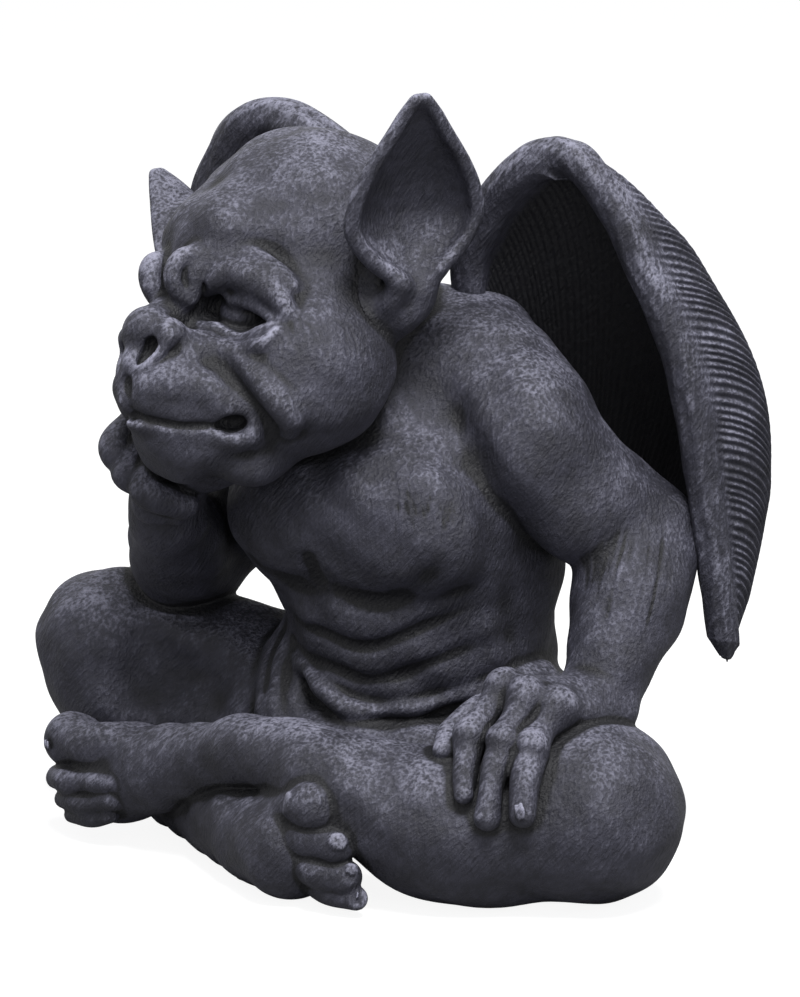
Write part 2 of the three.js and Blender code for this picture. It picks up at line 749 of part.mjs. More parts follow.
// The origin is on the ground under the middle of the figure
const box = new THREE.Box3().setFromObject(group);
const centre = box.getCenter(at(0, 0, 0));
group.position.set(-centre.x, -centre.y, -box.min.z);

export default group;
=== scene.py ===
import math
import bmesh
import bpy
import numpy as np
import openvdb
from mathutils import Euler, Matrix, Vector


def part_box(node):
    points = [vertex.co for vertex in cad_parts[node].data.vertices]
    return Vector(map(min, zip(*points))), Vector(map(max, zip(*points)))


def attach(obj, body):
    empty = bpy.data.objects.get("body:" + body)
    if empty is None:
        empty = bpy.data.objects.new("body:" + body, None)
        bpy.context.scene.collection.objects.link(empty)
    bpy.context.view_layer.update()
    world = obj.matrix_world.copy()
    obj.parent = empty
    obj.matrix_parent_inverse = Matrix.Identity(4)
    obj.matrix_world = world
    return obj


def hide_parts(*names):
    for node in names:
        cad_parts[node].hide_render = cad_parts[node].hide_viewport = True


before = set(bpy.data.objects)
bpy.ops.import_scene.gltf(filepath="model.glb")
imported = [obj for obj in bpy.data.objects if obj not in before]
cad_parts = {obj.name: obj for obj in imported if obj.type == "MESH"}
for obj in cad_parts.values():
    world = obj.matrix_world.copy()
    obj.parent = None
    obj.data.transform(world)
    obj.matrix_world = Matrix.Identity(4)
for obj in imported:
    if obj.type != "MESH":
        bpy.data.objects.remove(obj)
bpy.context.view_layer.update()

# The figure is modelled in millimetres round its own seat, as the solids are
perMetre = 1000
seatSpot = (0, 12)
seatLow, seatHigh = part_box("seat_pad")
seatMiddle = (seatLow.x + seatHigh.x) / 2, (seatLow.y + seatHigh.y) / 2
origin = np.array([seatMiddle[0] * perMetre - seatSpot[0], seatMiddle[1] * perMetre - seatSpot[1], 0])
rng = np.random.default_rng(7)
coarse = 1.0
farAway = 40.0  # more than any form's reach
formMargin = 4
limbSpots = 14  # along each span of a limb
muscleOver = 1.15  # a muscle's length over the gap it spans
skinBand = 8  # voxels either side of a skin


def at(*place):
    return np.array(place, float)


def turnOf(degrees):
    return np.array(Euler([math.radians(a) for a in degrees], "ZYX").to_matrix())


def smoothLine(points, perSpan=8):
    points = np.array(points, float)
    ends = np.vstack([2 * points[0] - points[1], points, 2 * points[-1] - points[-2]])
    line = []
    for i in range(len(points) - 1):
        a, b, c, d = ends[i:i + 4]
        for t in np.arange(perSpan) / perSpan:
            line.append(0.5 * (2 * b + (c - a) * t + (2 * a - 5 * b + 4 * c - d) * t ** 2
                               + (3 * b - a - 3 * c + d) * t ** 3))
    line.append(points[-1])
    return np.array(line)


# Clay forms: each has a box and a distance, negative inside
def egg(centre, radii, turn=(0, 0, 0), melt=8.0, carve=False, pose=None):
    centre = np.array(centre, float)
    radii = np.array(radii, float)
    axes = turnOf(turn)
    if pose is not None:
        centre = pose[:3, :3] @ centre + pose[:3, 3]
        axes = pose[:3, :3] @ axes
    reach = np.sqrt(((axes * radii) ** 2).sum(1))

    def distance(x, y, z):
        p = (x - centre[0], y - centre[1], z - centre[2])
        q = [(p[0] * axes[0, k] + p[1] * axes[1, k] + p[2] * axes[2, k]) / radii[k] for k in range(3)]
        level = np.sqrt(q[0] ** 2 + q[1] ** 2 + q[2] ** 2)
        slope = np.sqrt((q[0] / radii[0]) ** 2 + (q[1] / radii[1]) ** 2 + (q[2] / radii[2]) ** 2)
        return level * (level - 1) / np.maximum(slope, 1e-4)

    return {"low": centre - reach, "high": centre + reach, "distance": distance, "melt": melt, "carve": carve}


def eggs(centre, radii, turn=(0, 0, 0), **options):
    otherCentre = (-centre[0], centre[1], centre[2])
    otherTurn = (turn[0], -turn[1], -turn[2])
    return [egg(centre, radii, turn, **options), egg(otherCentre, radii, otherTurn, **options)]


# A rounded limb along a line; flat gives an axis and how hard the limb is pressed along it
def limb(points, radii, melt=8.0, carve=False, pose=None, flat=None):
    line = smoothLine(points, limbSpots)
    thick = smoothLine([(r, 0, 0) for r in radii], limbSpots)[:, 0]
    if pose is not None:
        line = line @ pose[:3, :3].T + pose[:3, 3]
    axis, press = flat if flat else (at(0, 0, 1), 1.0)
    axis = np.array(axis, float) / np.linalg.norm(axis)
    reach = max(radii) * max(1.0, 1.0 / press)

    def distance(x, y, z):
        best = None
        for a, b, ra, rb in zip(line[:-1], line[1:], thick[:-1], thick[1:]):
            ab = b - a
            p = (x - a[0], y - a[1], z - a[2])
            t = np.clip((p[0] * ab[0] + p[1] * ab[1] + p[2] * ab[2]) / max(ab @ ab, 1e-9), 0, 1)
            q = [p[k] - t * ab[k] for k in range(3)]
            d = q[0] ** 2 + q[1] ** 2 + q[2] ** 2
            if flat:
                d = d + (press ** 2 - 1) * (q[0] * axis[0] + q[1] * axis[1] + q[2] * axis[2]) ** 2
            d = np.sqrt(d) - (ra + t * (rb - ra))
            best = d if best is None else np.minimum(best, d)
        return best

    low, high = line.min(0) - reach, line.max(0) + reach
    return {"low": low, "high": high, "distance": distance, "melt": melt, "carve": carve}


# A belly of muscle between two points, a little longer than the gap
def muscle(start, end, wide, melt):
    start, end = np.array(start, float), np.array(end, float)
    along = Vector(end - start)
    turn = along.to_track_quat("Z", "Y").to_matrix().to_euler("ZYX")
    half = along.length / 2 * muscleOver
    return egg((start + end) / 2, (wide[0], wide[1], half), [math.degrees(a) for a in turn], melt=melt)


# A nail: a low disc in a shallow bed
nailShape = {"high": 0.5, "bedDeep": 0.55, "bedMargin": 0.8}


def nail(centre, outward, along, wide, long):
    outward = Vector(outward).normalized()
    side = Vector(along).cross(outward).normalized()
    turn = Matrix((side, outward.cross(side), outward)).transposed().to_euler("ZYX")
    turn = [math.degrees(a) for a in turn]
    margin = nailShape["bedMargin"]
    return [egg(centre, (wide + margin, long + margin, nailShape["bedDeep"]), turn, melt=0.3, carve=True),
            egg(centre, (wide, long, nailShape["high"]), turn, melt=0.2)]


def softMin(a, b, melt):
    near = np.maximum(melt - np.abs(a - b), 0) / melt
    return np.minimum(a, b) - near * near * melt / 4


def newGrid(low, high, step):
    low = np.floor(np.array(low) / step) * step
    count = np.ceil((np.array(high) - low) / step).astype(int) + 1
    axes = [low[k] + step * np.arange(count[k]) for k in range(3)]
    return {"low": low, "step": step, "count": count, "axes": axes}


def windowOf(grid, low, high):
    first = np.maximum(np.floor((low - grid["low"]) / grid["step"]).astype(int), 0)
    last = np.minimum(np.ceil((high - grid["low"]) / grid["step"]).astype(int) + 1, grid["count"])
    if np.any(last - first < 1):
        return None, None
    window = tuple(slice(a, b) for a, b in zip(first, last))
    x, y, z = (grid["axes"][k][window[k]].astype(np.float32) for k in range(3))
    return window, (x[:, None, None], y[None, :, None], z[None, None, :])


def skinLevel(skin, grid, window):
    points, quads, triangles = skin
    first = np.array([w.start for w in window])
    size = [w.stop - w.start for w in window]
    spots = ((points - grid["low"]) / grid["step"] - first).astype(np.float32)
    level = openvdb.FloatGrid.createLevelSetFromPolygons(
        spots, triangles.astype(np.uint32), quads.astype(np.uint32), halfWidth=skinBand)
    out = np.zeros(size, np.float32)
    level.copyToArray(out)
    return out * grid["step"]


def pressed(forms, grid):
    depth = np.full(grid["count"], farAway, np.float32)
    for form in forms:
        margin = form["melt"] + formMargin
        window, place = windowOf(grid, form["low"] - margin, form["high"] + margin)
        if window is None:
            continue
        if "skin" in form:
            distance = skinLevel(form["skin"], grid, window)
        else:
            distance = form["distance"](*place).astype(np.float32)
        part = depth[window]
        if form["carve"]:
            depth[window] = -softMin(-part, distance, form["melt"])
        else:
            depth[window] = softMin(part, distance, form["melt"])
    return depth


def sample(field, grid, points):
    spot = (points - grid["low"]) / grid["step"]
    spot = np.clip(spot, 0, grid["count"] - 1.001)
    base = spot.astype(int)
    part = spot - base
    total = 0
    for i in (0, 1):
        for j in (0, 1):
            for k in (0, 1):
                share = np.abs(1 - i - part[:, 0]) * np.abs(1 - j - part[:, 1]) * np.abs(1 - k - part[:, 2])
                total = total + share * field[base[:, 0] + i, base[:, 1] + j, base[:, 2] + k]
    return total


def slopeAt(field, grid, points):
    nudges = np.eye(3) * grid["step"]
    rises = [sample(field, grid, points + n) - sample(field, grid, points - n) for n in nudges]
    return np.stack(rises, 1) / (2 * grid["step"])


# The modelling tool: how close its dents lie as a share of its width, how its ends fade, and how its
# points are brought to the surface
tool = {"spacing": 0.4, "closest": 0.3, "lead": 4, "lightest": 0.15, "edge": 1, "rounds": 4, "flattest": 0.2}


def snapped(field, grid, points):
    for _ in range(tool["rounds"]):
        slope = slopeAt(field, grid, points)
        depth = sample(field, grid, points)
        points = points - slope * (depth / np.maximum((slope ** 2).sum(1), tool["flattest"]))[:, None]
    return points


# A stroke along the surface, pressed in by deep
def stroke(points, width, deep, pose=None, taper=True):
    line = np.array(points, float)
    if pose is not None:
        line = line @ pose[:3, :3].T + pose[:3, 3]
    return {"line": line, "width": width, "deep": deep, "taper": taper}


# A comb of thin strokes between a first and a last line, each a little astray
comb = {"place": (0.1, 0.9), "wander": 0.5, "start": (0, 0.2), "end": (0.75, 1), "width": (0.8, 1.3),
        "deep": (0.5, 1.2), "thinned": 4}


def combed(first, last, count, width, deep, pose=None):
    first, last = np.array(first, float), np.array(last, float)
    lines = []
    for k in range(count):
        share = (k + rng.uniform(*comb["place"])) / count
        line = first * (1 - share) + last * share + rng.normal(0, comb["wander"], first.shape)
        start, end = rng.uniform(*comb["start"]), rng.uniform(*comb["end"])
        line = smoothLine(line)
        line = line[int(start * len(line)):int(end * len(line)):comb["thinned"]]
        ownWidth, ownDeep = width * rng.uniform(*comb["width"]), deep * rng.uniform(*comb["deep"])
        lines.append(stroke(line, ownWidth, ownDeep, pose))
    return lines


def tooled(field, grid, strokes):
    low = grid["low"]
    high = low + (grid["count"] - 1) * grid["step"]
    edge = tool["edge"]
    for item in strokes:
        line, width = item["line"], item["width"]
        if np.any(line.max(0) < low + 2 * edge) or np.any(line.min(0) > high - 2 * edge):
            continue
        length = np.linalg.norm(np.diff(line, axis=0), axis=1).sum()
        gap = max(width * tool["spacing"], tool["closest"])
        dense = smoothLine(line, max(2, int(math.ceil(length / (len(line) - 1) / gap))))
        dense = dense[np.all((dense > low + edge) & (dense < high - edge), axis=1)]
        if len(dense) < 2:
            continue
        dense = snapped(field, grid, dense)
        share = np.linspace(0, 1, len(dense))
        press = np.ones(len(dense))
        if item["taper"]:
            press = np.minimum(1, tool["lead"] * np.minimum(share, 1 - share) + tool["lightest"])
        window, _ = windowOf(grid, dense.min(0) - width, dense.max(0) + width)
        if window is None:
            continue
        most = np.zeros(field[window].shape, np.float32)
        for spot, strength in zip(dense, press):
            near, place = windowOf(grid, spot - width, spot + width)
            if near is None:
                continue
            x, y, z = place
            d = ((x - spot[0]) ** 2 + (y - spot[1]) ** 2 + (z - spot[2]) ** 2) / width ** 2
            dent = (np.maximum(1 - d, 0) ** 2 * strength).astype(np.float32)
            inner = tuple(slice(n.start - w.start, n.stop - w.start) for n, w in zip(near, window))
            most[inner] = np.maximum(most[inner], dent)
        field[window] += item["deep"] * most


def blurred(field, radius):
    out = field
    width = 2 * radius + 1
    for axis in range(3):
        padded = np.concatenate([np.repeat(out.take([0], axis), radius + 1, axis), out,
                                 np.repeat(out.take([-1], axis), radius, axis)], axis)
        total = np.cumsum(padded, axis, dtype=np.float64)
        count = out.shape[axis]
        spans = total.take(range(width, width + count), axis) - total.take(range(count), axis)
        out = (spans / width).astype(np.float32)
    return out


def largestIsland(points, quads):
    label = np.arange(len(points))
    while True:
        low = label[quads].min(1)
        new = label.copy()
        for k in range(4):
            np.minimum.at(new, quads[:, k], low)
        new = new[new]
        if np.array_equal(new, label):
            break
        label = new
    used = label == np.bincount(label).argmax()
    number = np.cumsum(used) - 1
    return points[used], number[quads[used[quads[:, 0]]]]


def placed(name, data):
    item = bpy.data.objects.new(name, data)
    bpy.context.scene.collection.objects.link(item)
    return item


def meshOf(name, points, faces, attributes):
    mesh = bpy.data.meshes.new(name)
    mesh.vertices.add(len(points))
    mesh.vertices.foreach_set("co", ((points + origin) / perMetre).astype(np.float32).ravel())
    mesh.loops.add(faces.size)
    mesh.loops.foreach_set("vertex_index", faces.astype(np.int32).ravel())
    mesh.polygons.add(len(faces))
    mesh.polygons.foreach_set("loop_start", np.arange(0, faces.size, faces.shape[1], dtype=np.int32))
    mesh.update(calc_edges=True)
    mesh.polygons.foreach_set("use_smooth", np.ones(len(faces), bool))
    for label, values in attributes.items():
        layer = mesh.attributes.new(label, "FLOAT", "POINT")
        layer.data.foreach_set("value", np.asarray(values, np.float32))
    mesh.validate()
    return placed(name, mesh)


print("stage: forms")
headPose = np.eye(4)
headPose[:3, :3] = turnOf((4, -14, -18))
headPose[:3, 3] = (-20, -31, 144)


def onHead(place):
    return headPose[:3, :3] @ place + headPose[:3, 3]


wingRoots = [(11, 31, 87), (14, 30, 112), (15, 17, 134)]
torso = [
    # seat, belly, rib cage and upper back
    egg((0, 12, 24), (40, 32, 26)),
    egg((0, 6, 56), (34, 31, 30), melt=14),
    egg((-1, -8, 90), (39, 30, 32), melt=14),
    egg((0, 8, 112), (36, 24, 24), melt=12),
    # shoulders, neck and the muscle behind it
    limb([(-30, 0, 116), (-20, 4, 121), (0, 8, 125), (20, 4, 123), (30, 0, 118)],
         [15, 17, 18, 17, 15], melt=12),
    limb([(-4, -2, 116), (-9, -12, 126)], [22, 19], melt=10),
    limb([(-12, 5, 127), (12, 3, 124), (32, 0, 117)], [9, 10, 11], melt=8),
    # shoulder blades and chest
    *eggs((18, 25, 104), (13, 8, 18), (0, 0, 12), melt=8),
    *eggs((16, -29, 90), (21, 10, 17), (0, 12, 14), melt=6),
    # three rolls of the belly
    limb([(-20, -17, 67), (-9, -24.5, 65), (6, -26, 64.5), (19, -22, 68), (28, -12, 72)],
         [4, 5.5, 6, 5.5, 4], melt=5),
    limb([(-18, -15, 58), (-8, -22.5, 56.5), (6, -24, 55), (19, -20, 59), (28, -11, 63)],
         [4, 5, 5.5, 5, 4], melt=5),
    limb([(-16, -13, 50), (-6, -20.5, 48.5), (8, -22, 47), (20, -17, 51), (28, -9, 55)],
         [4, 5, 5.5, 5, 4], melt=5),
    # loincloth: its lap, its rolled edge and the end over the hip
    egg((2, -16, 30), (31, 19, 13), melt=4),
    limb([(-24, -16, 52), (-17, -22, 50), (-7, -27, 45), (3, -28.5, 42), (17, -23, 43.5), (29, -11, 48),
          (36, 6, 50)], [2.2, 2.4, 2.4, 2.4, 2.2, 2, 2], melt=2),
    limb([(-24, -6, 57), (-27, -13, 49), (-24, -22, 38)], [8, 9, 9], melt=5, flat=((-0.4, -0.8, 0.4), 1.5)),
    # flanks, and the bosses that carry the wings
    *eggs((29, 7, 80), (10, 12, 22), melt=8),
    limb(wingRoots, [9, 10, 6], melt=8),
    limb([(-p[0], p[1] + 3, p[2] + 4) for p in wingRoots], [9, 10, 6], melt=8),
]


def face(*args, **options):
    return egg(*args, pose=headPose, **options)


def faces(*args, **options):
    return eggs(*args, pose=headPose, **options)


def fold(points, radii, **options):
    other = [(-p[0], p[1], p[2]) for p in points]
    return [limb(points, radii, pose=headPose, **options), limb(other, radii, pose=headPose, **options)]


head = [
    # skull, cheeks, jaw and muzzle
    face((0, 14.5, 7), (32, 31, 31.2)),
    *faces((22, -7, -18), (15, 20, 19), melt=12),
    face((0, -12, -25.5), (27, 21, 14), melt=10),
    face((0, -20, -14), (16, 16, 16), melt=7),
    face((0, -19.5, 10), (9, 8, 7.5), melt=6),
    *faces((5, -10.5, 18.5), (12, 11, 9), melt=6),
    # eye: a deep socket, the ball, both lids and the bag below
    *fold([(6.1, -23.2, 0.5), (8.3, -19.9, 0.4), (13.6, -17.4, -0.9), (23.5, -19, -2.9)],
          [2, 3.6, 4.2, 2], melt=3, carve=True),
    *faces((10, -16.2, -1.9), (6, 5.8, 5.8), melt=0.6),
    *fold([(11.5, -20.4, 3.6), (12.6, -20.2, 2), (14.8, -19.4, 1.6), (18, -18.6, 0.4), (21.8, -18.2, -2.2),
           (26.4, -18.6, -5)], [0.9, 1.3, 1.5, 1.5, 1.3, 1], melt=1.2),
    *fold([(10, -25, -2.9), (13, -24.1, -5.1), (17, -22.9, -6.8), (21.4, -21.5, -6.6), (25.6, -19.9, -5.2)],
          [0.9, 1.2, 1.3, 1.2, 0.9], melt=1),
    *fold([(14.4, -25.7, -7.5), (19.3, -24.9, -9.2), (25.6, -23.9, -8.9), (28.2, -20.7, -6.6)],
          [1.1, 1.6, 1.6, 1.1], melt=2),
    # brow: the overhanging ridge, the fold above it and the curled knot by the nose
    *fold([(7.9, -22.8, 8), (10.3, -20.8, 8.5), (12.9, -18.4, 8.6), (16.9, -16.4, 7.1), (21.2, -15.6, 4.2),
           (26.2, -16, 0.2), (28.4, -16.4, -2.8)], [3, 3.8, 4.3, 4.5, 4, 3, 1.8], melt=2.5),
    *fold([(6.8, -22.2, 14.3), (8.6, -19.1, 14), (11.4, -16.3, 12.7), (15.4, -14.3, 11.4),
           (19.4, -12.9, 9.1), (22.8, -12.3, 5.9), (26.2, -11.8, 2.4)],
          [2.4, 2.6, 2.6, 2.4, 2.2, 2, 1.4], melt=3),
    *fold([(12.2, -15.7, 11), (10.4, -18.5, 11.9), (8.8, -21.6, 11.7), (7.8, -23.9, 9.5), (7.6, -25.9, 5.9)],
          [0.8, 1.5, 2, 2, 1.4], melt=1.5, carve=True),
    *fold([(6.8, -23.6, 15), (5.8, -26.8, 14.9), (5, -29.1, 13.1), (4.8, -30.2, 10.4), (5, -29.7, 7.1),
           (5.6, -28.1, 4.5)], [2.4, 2.6, 2.8, 2.8, 2.4, 1.6], melt=1.2),
    *fold([(7.8, -22, 13.1), (6.8, -24.8, 11.2), (6.2, -26.3, 8.4), (6.2, -27.1, 5.5)],
          [2.6, 3, 2.8, 2], melt=1.2),
    # nose: the bridge, the bulb, its tip and its wings
    *fold([(0, -25, 4), (0, -32, 1.5)], [3.2, 4.2], melt=3),
    face((0, -37.7, -0.3), (7.4, 6.2, 6.4), melt=2),
    *fold([(0, -40.5, -3.2), (0, -43.5, -5.7), (0, -44.1, -7.8)], [3, 2.4, 2], melt=1.5),
    *faces((7.2, -36.8, -1.8), (4.4, 4.2, 4.2), melt=1.5),
    # upper lip flaps, the bands that run round them, and the nostrils with their rims
    *faces((9.8, -32.4, -7.4), (3.4, 3.4, 3.8), melt=3),
    *fold([(4.3, -42.2, -13.4), (7, -38.4, -13.8), (11.5, -34, -16.6), (16.5, -31, -21)],
          [5.6, 7, 6.6, 4.6], melt=4),
    *fold([(1.6, -46.2, -15.5), (4.6, -44.4, -17.6), (9, -40.4, -20.4), (13, -35.6, -22.3),
           (16.4, -32, -23)], [2.2, 2.6, 2.8, 2.6, 2], melt=3),
    *fold([(11.5, -28.5, -8.5), (16.5, -27.6, -15), (20.6, -26.2, -21.5)], [2.8, 3, 2.8], melt=4),
    *fold([(8.2, -34, -2.4), (9.5, -28.7, -5.2), (15.2, -26.9, -9.8), (22.8, -27, -14.8), (27.2, -25.7, -21),
           (28.2, -23.5, -26.7), (26.2, -22.6, -30.8)], [1.4, 1.8, 2.4, 3, 3.4, 3.2, 2], melt=2.5),
    *fold([(8.4, -39.4, -3), (8, -40.8, -4.9), (6, -42.9, -6.7), (4, -44.8, -8.1)],
          [1.4, 1.2, 1.1, 1], melt=1),
    *fold([(5.4, -40.7, -3.4), (4.2, -42, -5), (2.8, -43.9, -6.9)], [2.4, 1.9, 1], melt=0.8, carve=True),
    # lower lip, chin, the ring and the pit in the corner of the mouth
    face((0, -35.6, -31), (12, 8, 7.4), melt=4),
    *fold([(0, -41.2, -25), (5.5, -39.4, -26.6), (12.7, -33.8, -29), (18, -29, -30)],
          [4.2, 4.4, 4, 2.8], melt=4),
    *fold([(1, -42.5, -20), (6, -38.5, -22.5), (11, -33.8, -24), (15, -30.5, -25)],
          [4.2, 4.2, 3.6, 2.6], melt=2),
    *fold([(-1, -47.6, -20.3), (4.4, -44, -22.6), (8.6, -40.4, -25.2), (13, -35.4, -27),
           (15.6, -32.8, -27.4)], [0.9, 1.4, 1.8, 1.8, 1.4], melt=3),
    *fold([(14.6, -33.8, -22.2), (17.6, -31.7, -22), (20, -29.4, -22.6), (21.2, -28.2, -24.9),
           (21, -28.1, -27.6), (19.6, -29.8, -29.8), (17.6, -32.4, -30.4), (15.2, -34.5, -29)],
          [1.3, 1.7, 2, 2, 2, 1.8, 1.6, 1.2], melt=2),
    *faces((17.4, -32, -25.5), (3, 3.6, 2.3), melt=2, carve=True),
    *faces((9.5, -23.5, -36.6), (9, 9, 6.4), melt=6),
]


# A closed skin of loops, each loop joined to the next and both ends drawn to a point
def loopSkin(loops):
    loops = np.array(loops, float)
    count, around = loops.shape[:2]
    points = np.vstack([loops.reshape(-1, 3), loops[0].mean(0), loops[-1].mean(0)])
    quads, triangles = [], []
    for i in range(count - 1):
        for j in range(around):
            k = (j + 1) % around
            quads.append((i * around + j, i * around + k, (i + 1) * around + k, (i + 1) * around + j))
    for j in range(around):
        k = (j + 1) % around
        triangles.append((k, j, count * around))
        triangles.append(((count - 1) * around + j, (count - 1) * around + k, count * around + 1))
    return points, np.array(quads), np.array(triangles)


def sheet(loops, melt):
    skin = loopSkin(loops)
    return {"low": skin[0].min(0), "high": skin[0].max(0), "skin": skin, "melt": melt, "carve": False}


# Ears: a cupped leaf from its lobe to its tip; outline is the share of its length and of its half width
ear = {
    "lobe": (40.8, 13.4, -6.3), "rightShift": (-2.6, -0.6, -4.9),
    "rise": (0.383, 0.016, 0.924), "across": (0.3, 0.955, 0),
    "length": 49.5, "half": 17, "depth": 12, "wall": 2, "wallShare": 0.5, "cupAngle": 1.35, "cupSpots": 25,
    "outline": [(0, 0.15), (0.1, 0.46), (0.2, 0.8), (0.33, 1.03), (0.46, 1.0), (0.56, 0.9), (0.69, 0.7),
                (0.81, 0.47), (0.91, 0.3), (1, 0.08)],
}


def earForms(sign):
    lobe = np.array(ear["lobe"]) + (0 if sign > 0 else np.array(ear["rightShift"]))
    rise = np.array(ear["rise"]) / np.linalg.norm(ear["rise"])
    facing = np.cross(ear["across"], rise)
    facing /= np.linalg.norm(facing)
    wide = np.cross(rise, facing)
    angles = np.linspace(-ear["cupAngle"], ear["cupAngle"], ear["cupSpots"])
    loops, front, hind = [], [], []
    for along, share, _ in smoothLine([(a, b, 0) for a, b in ear["outline"]]):
        half, depth = share * ear["half"], share * ear["depth"]
        wall = min(ear["wall"], half * ear["wallShare"])
        middle = lobe + rise * along * ear["length"]
        outer = [middle + wide * math.sin(a) * half - facing * math.cos(a) * depth for a in angles]
        inner = [middle + wide * math.sin(a) * (half - wall) - facing * math.cos(a) * (depth - wall)
                 for a in angles]
        loops.append(inner + outer[::-1])
        front.append((inner[0] + outer[0]) / 2)
        hind.append((inner[-1] + outer[-1]) / 2)
    side = np.array([sign, 1, 1])
    turned = [[onHead(p * side) for p in loop] for loop in loops]

    def rim(points, radii, melt):
        return limb([np.array(p) * side for p in points], radii, melt=melt, pose=headPose)

    def edge(points, first, last):
        return [points[i] for i in np.linspace(first, last, 8).astype(int)]

    return [
        sheet(turned, 2),
        rim(edge(front, 6, 70), np.linspace(1.9, 0.8, 8), 3),
        rim(edge(hind, 8, 70), np.linspace(1.1, 0.8, 8), 3),
        # lobe, inner fold and the root in the skull
        rim([(39, 19, -3), (37, 15.5, -8.1), (34.5, 12.3, -11.2), (31, 11.8, -12.6)], [3, 4.4, 4.2, 4], 4),
        rim([(40, 9.3, -3.8), (36, 8, -7), (31, 9, -9)], [2.2, 3, 4], 3),
        rim([(29, 9, -7), (30, 14.5, 4), (30, 19, 13)], [4.8, 5, 4.2], 4),
    ]


leftArm = [
    # upper arm, elbow and forearm
    limb([(38, -2, 112), (46, 6, 97), (57, 20, 84)], [15.5, 15, 12]),
    egg((41, -8, 108), (11.5, 12, 15), melt=5),
    muscle((43, -10, 101), (55, 9, 82), (9.5, 11), melt=4),
    muscle((46, 10, 104), (57, 21, 88), (8, 9), melt=4),
    egg((61, 22, 84), (8, 8, 8), melt=5),
    limb([(57, 20, 84), (60, 8, 70), (61, -10, 47)], [12.5, 14, 8.5], melt=5),
    muscle((57, 14, 84), (61, 0, 60), (11, 12.5), melt=5),
    # back of the hand and three fingers
    limb([(61, -9, 47), (59, -20, 50), (48.5, -32, 53.5)], [8, 6, 4], melt=4),
    limb([(61, -10, 47), (60, -21, 50), (55.5, -33, 52.5)], [8, 6, 4], melt=3),
    limb([(62, -10, 46), (63, -20, 48), (61, -29.5, 50)], [8, 6, 4], melt=3),
    limb([(48.5, -32, 53.5), (48, -38, 49.5), (47.6, -43.2, 45.4), (47.4, -44.8, 43.2), (49, -49.5, 38.5),
          (51.6, -54, 33)], [4.6, 3.2, 3.6, 3.6, 2.9, 2.8], melt=1),
    limb([(55.5, -33, 52.5), (56, -38, 48.6), (56.3, -42.2, 45), (56.4, -43.8, 42.6), (57, -49.5, 36.5),
          (58, -53.4, 28)], [5, 3.4, 3.9, 3.9, 3.2, 3.3], melt=1),
    limb([(62, -29.5, 50), (62, -35, 46.6), (62, -39.4, 43.8), (62.4, -41, 41.6), (64.5, -47, 36),
          (66, -50.4, 29.5)], [5.2, 3.6, 4.3, 4.3, 4, 3.6], melt=1),
    # knuckles, thumb and nail
    egg((48.6, -31.6, 54.6), (4.6, 4.8, 4.4), melt=2),
    egg((55.5, -32.6, 53.6), (4.8, 5, 4.6), melt=2),
    egg((62, -29.2, 51.2), (5, 5.2, 4.8), melt=2),
    egg((47.4, -44.6, 45), (3.9, 3.7, 3.6), melt=0.8),
    egg((56.2, -43.7, 44.8), (4.3, 4, 3.8), melt=0.8),
    egg((62.2, -40.9, 43.8), (4.7, 4.4, 4.2), melt=0.8),
    limb([(50, -20, 47), (42, -31, 47.5), (38.5, -39, 43.5), (40.5, -45.5, 40.5)], [6, 4, 3.4, 2.8], melt=2),
    *nail((67.3, -53.6, 31), (0.35, -0.93, 0.1), (0.2, -0.2, -1), 1.9, 2.6),
]
rightArm = [
    limb([(-40, -1, 105), (-55, 0, 84), (-70, 0, 64)], [18, 16.5, 12.5]),
    limb([(-70, 0, 64), (-58, -18, 75), (-45, -41, 88)], [12.5, 13.5, 8.5], melt=5),
    limb([(-45, -41, 88), (-40, -45, 103)], [8.5, 10.5], melt=4),
    # fist
    limb([(-49, -49, 111), (-48, -57, 106), (-42, -50, 101)], [4.8, 4.9, 4.2], melt=1.2),
    limb([(-44, -51, 107.5), (-43, -58.5, 101.5), (-37, -51, 97)], [4.8, 4.9, 4.2], melt=1.2),
    limb([(-39, -53, 104), (-37, -60, 98), (-32, -53, 94)], [4.6, 4.6, 4], melt=1.2),
    limb([(-44, -46, 96), (-41, -54, 92.5), (-35, -51, 91)], [4.2, 4.2, 3.6], melt=1.2),
]
leftLeg = [
    limb([(26, 6, 26), (46, -7, 25), (66.5, -20, 23.5)], [25, 23.5, 20.5]),
    egg((71, -27, 27), (12, 12, 13), melt=9),
    limb([(66.5, -20, 23.5), (40, -41, 21.5), (14, -51, 29), (0, -51, 34), (-16, -49.5, 33.5)],
         [20.5, 18, 13.5, 9.8, 8]),
    muscle((58, -32, 18), (24, -46, 19), (15, 16), melt=8),
    # foot and four toes
    limb([(-16, -49.5, 33.5), (-32, -46, 28.5), (-50, -41, 22), (-64, -37, 18)], [8, 9, 11.4, 12.6],
         melt=5, flat=((0.3, -0.95, 0), 1.3)),
    limb([(-58, -42, 25.5), (-68, -42.5, 26.5), (-77.5, -40, 26)], [6, 6.2, 6.8], melt=1.5),
    limb([(-57.7, -46.5, 19), (-71.4, -44.5, 16.6), (-81.5, -40.5, 15)], [3.2, 3.8, 3.4], melt=0.8),
    limb([(-58.8, -46, 13.9), (-70.3, -44, 11.4), (-79.5, -40.5, 10)], [3, 3.4, 3], melt=0.8),
    limb([(-60.9, -45, 9.3), (-69.9, -43, 7.3), (-77, -40, 6.2)], [2.6, 2.8, 2.6], melt=0.8),
    *nail((-80.6, -45.8, 25.2), (-0.45, -0.89, -0.1), (-1, 0.1, 0), 2, 2.2),
]
